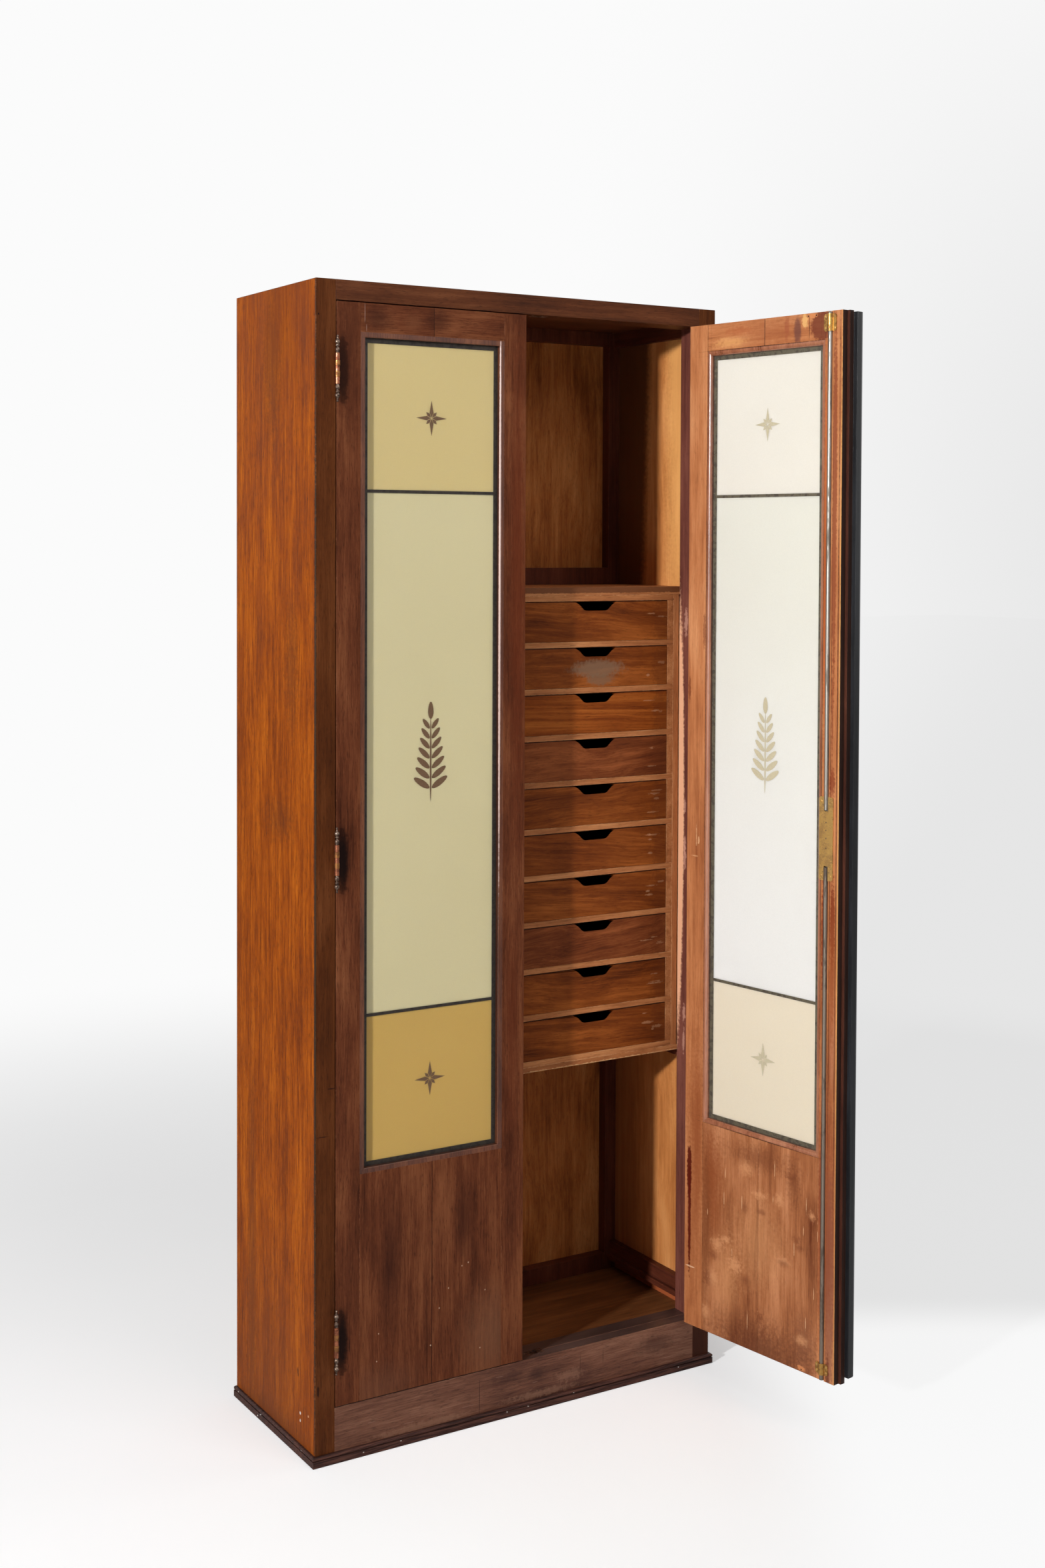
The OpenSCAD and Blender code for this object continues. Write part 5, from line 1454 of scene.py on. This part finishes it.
@dataclass
class RodLock:
    """The right door's rod lock: plate, guides, rods, slotted screws and rivets, knob and its plate."""

    space: DoorSpace
    screw_radius: float = 2.3
    screw_height: float = 0.6
    screw_span: float = 6.0
    slot_width: float = 0.7
    rivet_radius: float = 1.3
    rivet_shares: tuple[float, ...] = (0.305, 0.4, 0.495, 0.615)
    pin_radius: float = 0.9
    pin_across: float = 6.6
    pin_up: float = 58.5

    def _screw(self) -> Piece:
        """A slotted round-head screw whose head looks along +Y from the origin."""
        radius = self.screw_radius * MM
        height = self.screw_height * MM
        screw = Workbench.button(24, radius, height, radius * 0.35, height * 0.5, height / 2)
        Workbench.clear()
        bpy.ops.mesh.primitive_cube_add(size=1, location=(0, 0, height * 1.3))
        cutter = bpy.context.object
        cutter.scale = (radius * 2.4, self.slot_width * MM, height)
        Workbench.only(screw)
        cut = screw.modifiers.new("slot", "BOOLEAN")
        cut.operation = "DIFFERENCE"
        cut.object = cutter
        cut.solver = "EXACT"
        bpy.context.view_layer.update()
        bpy.ops.object.modifier_apply(modifier=cut.name)
        bpy.data.objects.remove(cutter)
        bpy.ops.object.shade_smooth_by_angle(angle=math.radians(30))
        return screw

    def _screw_places(self) -> list[Vector]:
        """Centres of the CAD screws' heads on the closed door, from the node's own mesh."""
        back = self.space.matrix.inverted()
        points = [back @ vertex.co for vertex in frame["nodes"]["lock_screws"].data.vertices]
        face = max(point.y for point in points)
        heads: list[list[Vector]] = []
        for point in points:
            if point.y < face - 0.0001:
                continue
            near = next((head for head in heads if (head[0] - point).length < self.screw_span * MM), None)
            if near is None:
                heads.append([point])
            else:
                near.append(point)
        return [sum(head, Vector()) / len(head) for head in heads]

    def _screws(self) -> None:
        """All the screws of the lock plate and the rod guides."""
        pattern = self._screw()
        rng = random.Random(17)
        heads = []
        for place in self._screw_places():
            foot = place - Vector((0, self.screw_height * MM, 0))
            spin = Matrix.Rotation(rng.uniform(0, math.pi), 4, "Z")
            heads.append(Workbench.twin(pattern, self.space.matrix @ Matrix.Translation(foot) @ FACE_BACK @ spin))
        bpy.data.objects.remove(pattern)
        screws = Workbench.join(heads, "lock_screw_heads")
        Workbench.coat(screws, OLD_BRASS.material("screw_metal"))
        Workbench.hand_over(screws, "right_door", OLD_BRASS.slot, ["lock_screws"])

    def _rivets(self) -> None:
        """Four rivet heads down the lock plate, and a small pin beside each corner screw."""
        low, high = self.space.box("lock_case")
        across, up = (low.x + high.x) / 2, (low.z + high.z) / 2
        places = [(across, high.z - share * (high.z - low.z), self.rivet_radius) for share in self.rivet_shares]
        places += [(across + x * self.pin_across * MM, up + z * self.pin_up * MM, self.pin_radius)
                   for x in (-1, 1) for z in (-1, 1)]
        heads = []
        for x, z, radius in places:
            head = Workbench.button(16, radius * MM, 0.4 * MM, radius * 0.4 * MM, 0.15 * MM)
            Workbench.settle(head, self.space.matrix @ Matrix.Translation((x, high.y, z)) @ FACE_BACK)
            heads.append(head)
        rivets = Workbench.join(heads, "lock_rivets")
        Workbench.coat(rivets, TARNISHED.material("rivet_metal"))
        bpy.ops.object.shade_smooth_by_angle(angle=math.radians(50))
        Workbench.hand_over(rivets, "right_door", OLD_BRASS.slot)

    def build(self) -> None:
        """Makes the lock's pieces."""
        for node, body, metal, edge, segments in (
            ("lock_case", "right_door", OLD_BRASS, 0.25, 2), ("rod_guides", "right_door", BRASS, 0.25, 2),
            ("upper_rod", "upper_rod", STEEL, 0.5, 2), ("lower_rod", "lower_rod", SHADED_STEEL, 0.5, 2),
            ("turn_knob", "turn_knob", BRASS, 1.4, 4), ("knob_rose", "right_door", BRASS, 0.5, 3),
            ("strike_plates", "root", TARNISHED, 0.4, 2),
        ):
            Workbench.dress(node, body, metal.slot, [metal.material(node)], edge, segments)
        self._screws()
        self._rivets()


@dataclass
class CoverStrip:
    """The black round-fronted strip on the right door's meeting edge."""

    space: DoorSpace

    def build(self) -> None:
        """Makes the strip."""
        board = Board(Grain.UPRIGHT, 12.5, door=self.space)
        WoodPiece("cover_strip", "right_door", STRIP_WOOD, board, 0.8, 0.3).build()


@dataclass
class BackNails:
    """Small nails that hold the back panel, round its edge and along the middle rail."""

    pitch: float = 96.0
    inset: float = 12.0
    radius: float = 2.2
    low_row: float = 100.0
    rail_row: float = 1496.5

    def build(self) -> None:
        """Makes one nail head and copies it round the panel."""
        low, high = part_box("back_panel")
        nail = Workbench.button(10, self.radius * MM, 0.6 * MM, self.radius * 0.35 * MM, 0.3 * MM)
        edge = self.inset * MM
        wide = int((high.x - low.x - 2 * edge) / (self.pitch * MM))
        tall = int((high.z - low.z - 2 * edge) / (self.pitch * MM))
        spots = [(low.x + edge + i * (high.x - low.x - 2 * edge) / wide, z) for i in range(wide + 1)
                 for z in (self.low_row * MM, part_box("back_frame")[1].z - edge, self.rail_row * MM)]
        spots += [(x, low.z + edge + i * (high.z - low.z - 2 * edge) / tall) for i in range(1, tall)
                  for x in (low.x + edge, high.x - edge)]
        heads = [Workbench.twin(nail, Matrix.Translation((x, high.y + 0.0001, z)) @ FACE_BACK) for x, z in spots]
        bpy.data.objects.remove(nail)
        nails = Workbench.join(heads, "back_nails")
        Workbench.coat(nails, STEEL.material("nail_metal"))
        Workbench.hand_over(nails, "root", STEEL.slot)


# The turn of the camera's view from +Y, in degrees.
VIEW_TURN = 31.6


@dataclass
class Studio:
    """Pale floor, soft light and the camera."""

    camera_place: tuple[float, float, float] = (-1.8254, -3.1213, 1.5575)
    camera_yaw: float = -31.569
    camera_pitch: float = 88.30
    camera_roll: float = 0.228
    lens: float = 44.93
    shift: float = -0.1153
    key_travel: tuple[float, float, float] = (0.93, 0.37, -0.24)
    key_distance: float = 7.0
    key_power: float = 430.0
    key_size: float = 0.3
    fill_place: tuple[float, float, float] = (0.8, -3.4, 3.9)
    fill_size: float = 2.4
    fill_power: float = 30.0
    top_place: tuple[float, float, float] = (-0.4, -1.0, 3.6)
    top_target: tuple[float, float, float] = (0.0, -0.6, 0.0)
    top_size: float = 3.0
    top_power: float = 12.0
    target: tuple[float, float, float] = (0.0, -0.15, 1.0)
    # dusk: the span across the view over which the painted shade on the right comes in
    dusk: tuple[float, float] = (0.0, 0.34)
    ambient: float = 0.22
    ambient_front: float = 0.3
    floor_lift: float = 0.38
    backdrop: float = 0.965
    # the grey of the painted shade on the background's right side
    backdrop_right_shade: float = 0.79

    def _camera(self) -> None:
        """The camera at the photograph's viewing angle."""
        data = bpy.data.cameras.new("camera")
        data.sensor_width = 36
        data.lens = self.lens
        data.shift_y = self.shift
        camera = bpy.data.objects.new("camera", data)
        bpy.context.scene.collection.objects.link(camera)
        turn = (Matrix.Rotation(math.radians(self.camera_yaw), 4, "Z")
                @ Matrix.Rotation(math.radians(self.camera_pitch), 4, "X")
                @ Matrix.Rotation(math.radians(self.camera_roll), 4, "Z"))
        camera.matrix_world = Matrix.Translation(self.camera_place) @ turn
        bpy.context.scene.camera = camera

    def _lamp(self, name: str, place: Vector, target: Vector, size: float, power: float) -> None:
        """A square soft lamp that looks at a target."""
        data = bpy.data.lights.new(name, "AREA")
        data.shape = "RECTANGLE"
        data.size = data.size_y = size
        data.energy = power
        lamp = bpy.data.objects.new(name, data)
        bpy.context.scene.collection.objects.link(lamp)
        lamp.location = place
        lamp.rotation_euler = (target - place).to_track_quat("-Z", "Y").to_euler()

    def _camera_axes(self, graph: Graph, vector: Shade) -> tuple[Shade, Shade, Shade]:
        """A place or direction across the camera's view, away from it and up."""
        return graph.axes(graph.mapped(vector, turn=(0, 0, math.radians(VIEW_TURN))))

    def _backdrop_tone(self, graph: Graph, right: Shade) -> Shade:
        """The background's grey, darkened as painted shade where the mask for its right side says so."""
        return graph.mix(right, (self.backdrop,) * 3 + (1,), (self.backdrop_right_shade,) * 3 + (1,))

    def _floor(self) -> None:
        """A pale floor that keeps the cabinet's shadow and fades into the background, greyed to the right and further
        back as painted shade.
        """
        Workbench.clear()
        bpy.ops.mesh.primitive_plane_add(size=60, location=(0, 0, -0.0005))
        floor = bpy.context.object
        floor.name = "studio_floor"
        graph = Graph.of_material("studio_floor")
        place = graph.place()
        reach = graph.vector_math("LENGTH", place, output="Value")
        ray = graph.node("ShaderNodeLightPath", output="Is Camera Ray")
        cloud = graph.noise(place, 1.6, 3.0, 0.6)
        shade = 0.88 + (cloud - 0.5) * 0.06
        grey = graph.node("ShaderNodeCombineColor", inputs={0: shade, 1: shade * 1.01, 2: shade * 1.02})
        diffuse = graph.node("ShaderNodeBsdfDiffuse", inputs={"Color": grey})
        lift = graph.node("ShaderNodeEmission", inputs={"Strength": ray * self.floor_lift})
        near = graph.node("ShaderNodeAddShader", inputs={0: diffuse, 1: lift})
        across, beyond, _ = self._camera_axes(graph, place)
        # painted shade: the floor far to the right and back takes the background's darker grey
        far_right_shade = graph.smooth(across / reach, *self.dusk) * graph.smooth(beyond, 0.2, 0.42)
        far_colour = self._backdrop_tone(graph, far_right_shade)
        glow = graph.node("ShaderNodeEmission", inputs={"Color": far_colour, "Strength": 1.0})
        fade = graph.math("MAXIMUM", graph.smooth(reach, 1.0, 3.6), graph.smooth(across, 0.42, 0.7) * 0.85)
        mixed = graph.node("ShaderNodeMixShader", inputs={0: fade * ray, 1: near, 2: glow})
        graph.node("ShaderNodeOutputMaterial", inputs={"Surface": mixed})
        floor.data.materials.append(graph.owner)

    def _world(self) -> None:
        """Light all round, weaker from the front, and a near-white background for the camera and for reflections,
        greyed on the right near the horizon as painted shade.
        """
        world = bpy.data.worlds.new("studio")
        bpy.context.scene.world = world
        graph = Graph(world)
        camera = graph.node("ShaderNodeLightPath", output="Is Camera Ray")
        glossy = graph.node("ShaderNodeLightPath", output="Is Glossy Ray")
        through = graph.node("ShaderNodeLightPath", output="Is Transmission Ray")
        seen = graph.math("MAXIMUM", camera, graph.math("MAXIMUM", glossy, through))
        direction = graph.node("ShaderNodeTexCoord", output="Generated")
        across, _, up = self._camera_axes(graph, direction)
        colour = self._backdrop_tone(graph, graph.smooth(across, *self.dusk) * graph.smooth(up, 0.42, 0.0))
        behind = graph.smooth(graph.axes(direction)[1], -0.5, 0.4)
        strength = (behind * (1 - self.ambient_front) + self.ambient_front) * self.ambient
        light = graph.node("ShaderNodeBackground", inputs={"Strength": strength})
        shown = graph.node("ShaderNodeBackground", inputs={"Color": colour, "Strength": 1.0})
        mixed = graph.node("ShaderNodeMixShader", inputs={0: seen, 1: light, 2: shown})
        graph.node("ShaderNodeOutputWorld", inputs={"Surface": mixed})

    def build(self) -> None:
        """Sets up camera, floor, lamps and world."""
        self._camera()
        self._floor()
        target = Vector(self.target)
        key_place = target - Vector(self.key_travel).normalized() * self.key_distance
        for name, place, seen, size, power in (
            ("key", key_place, target, self.key_size, self.key_power),
            ("fill", Vector(self.fill_place), target, self.fill_size, self.fill_power),
            ("top", Vector(self.top_place), Vector(self.top_target), self.top_size, self.top_power),
        ):
            self._lamp(name, place, seen, size, power)
        self._world()
        bpy.context.scene.view_settings.view_transform = "Standard"


def main() -> None:
    """Builds every sub-assembly, then the studio."""
    logging.basicConfig(level=logging.INFO, format="%(message)s")
    left = door_space(Side.LEFT)
    right = door_space(Side.RIGHT)
    Carcass().build()
    Chest().build()
    Door(left, DOOR_WOOD, DOOR_INNER_WOOD, "left_door", "left_door").build()
    Door(right, DOOR_INNER_WOOD, DOOR_WOOD, "right_door", "right_door").build()
    Hinges().build()
    RodLock(right).build()
    CoverStrip(right).build()
    BackNails().build()
    Studio().build()


if __name__ == "__main__":
    main()
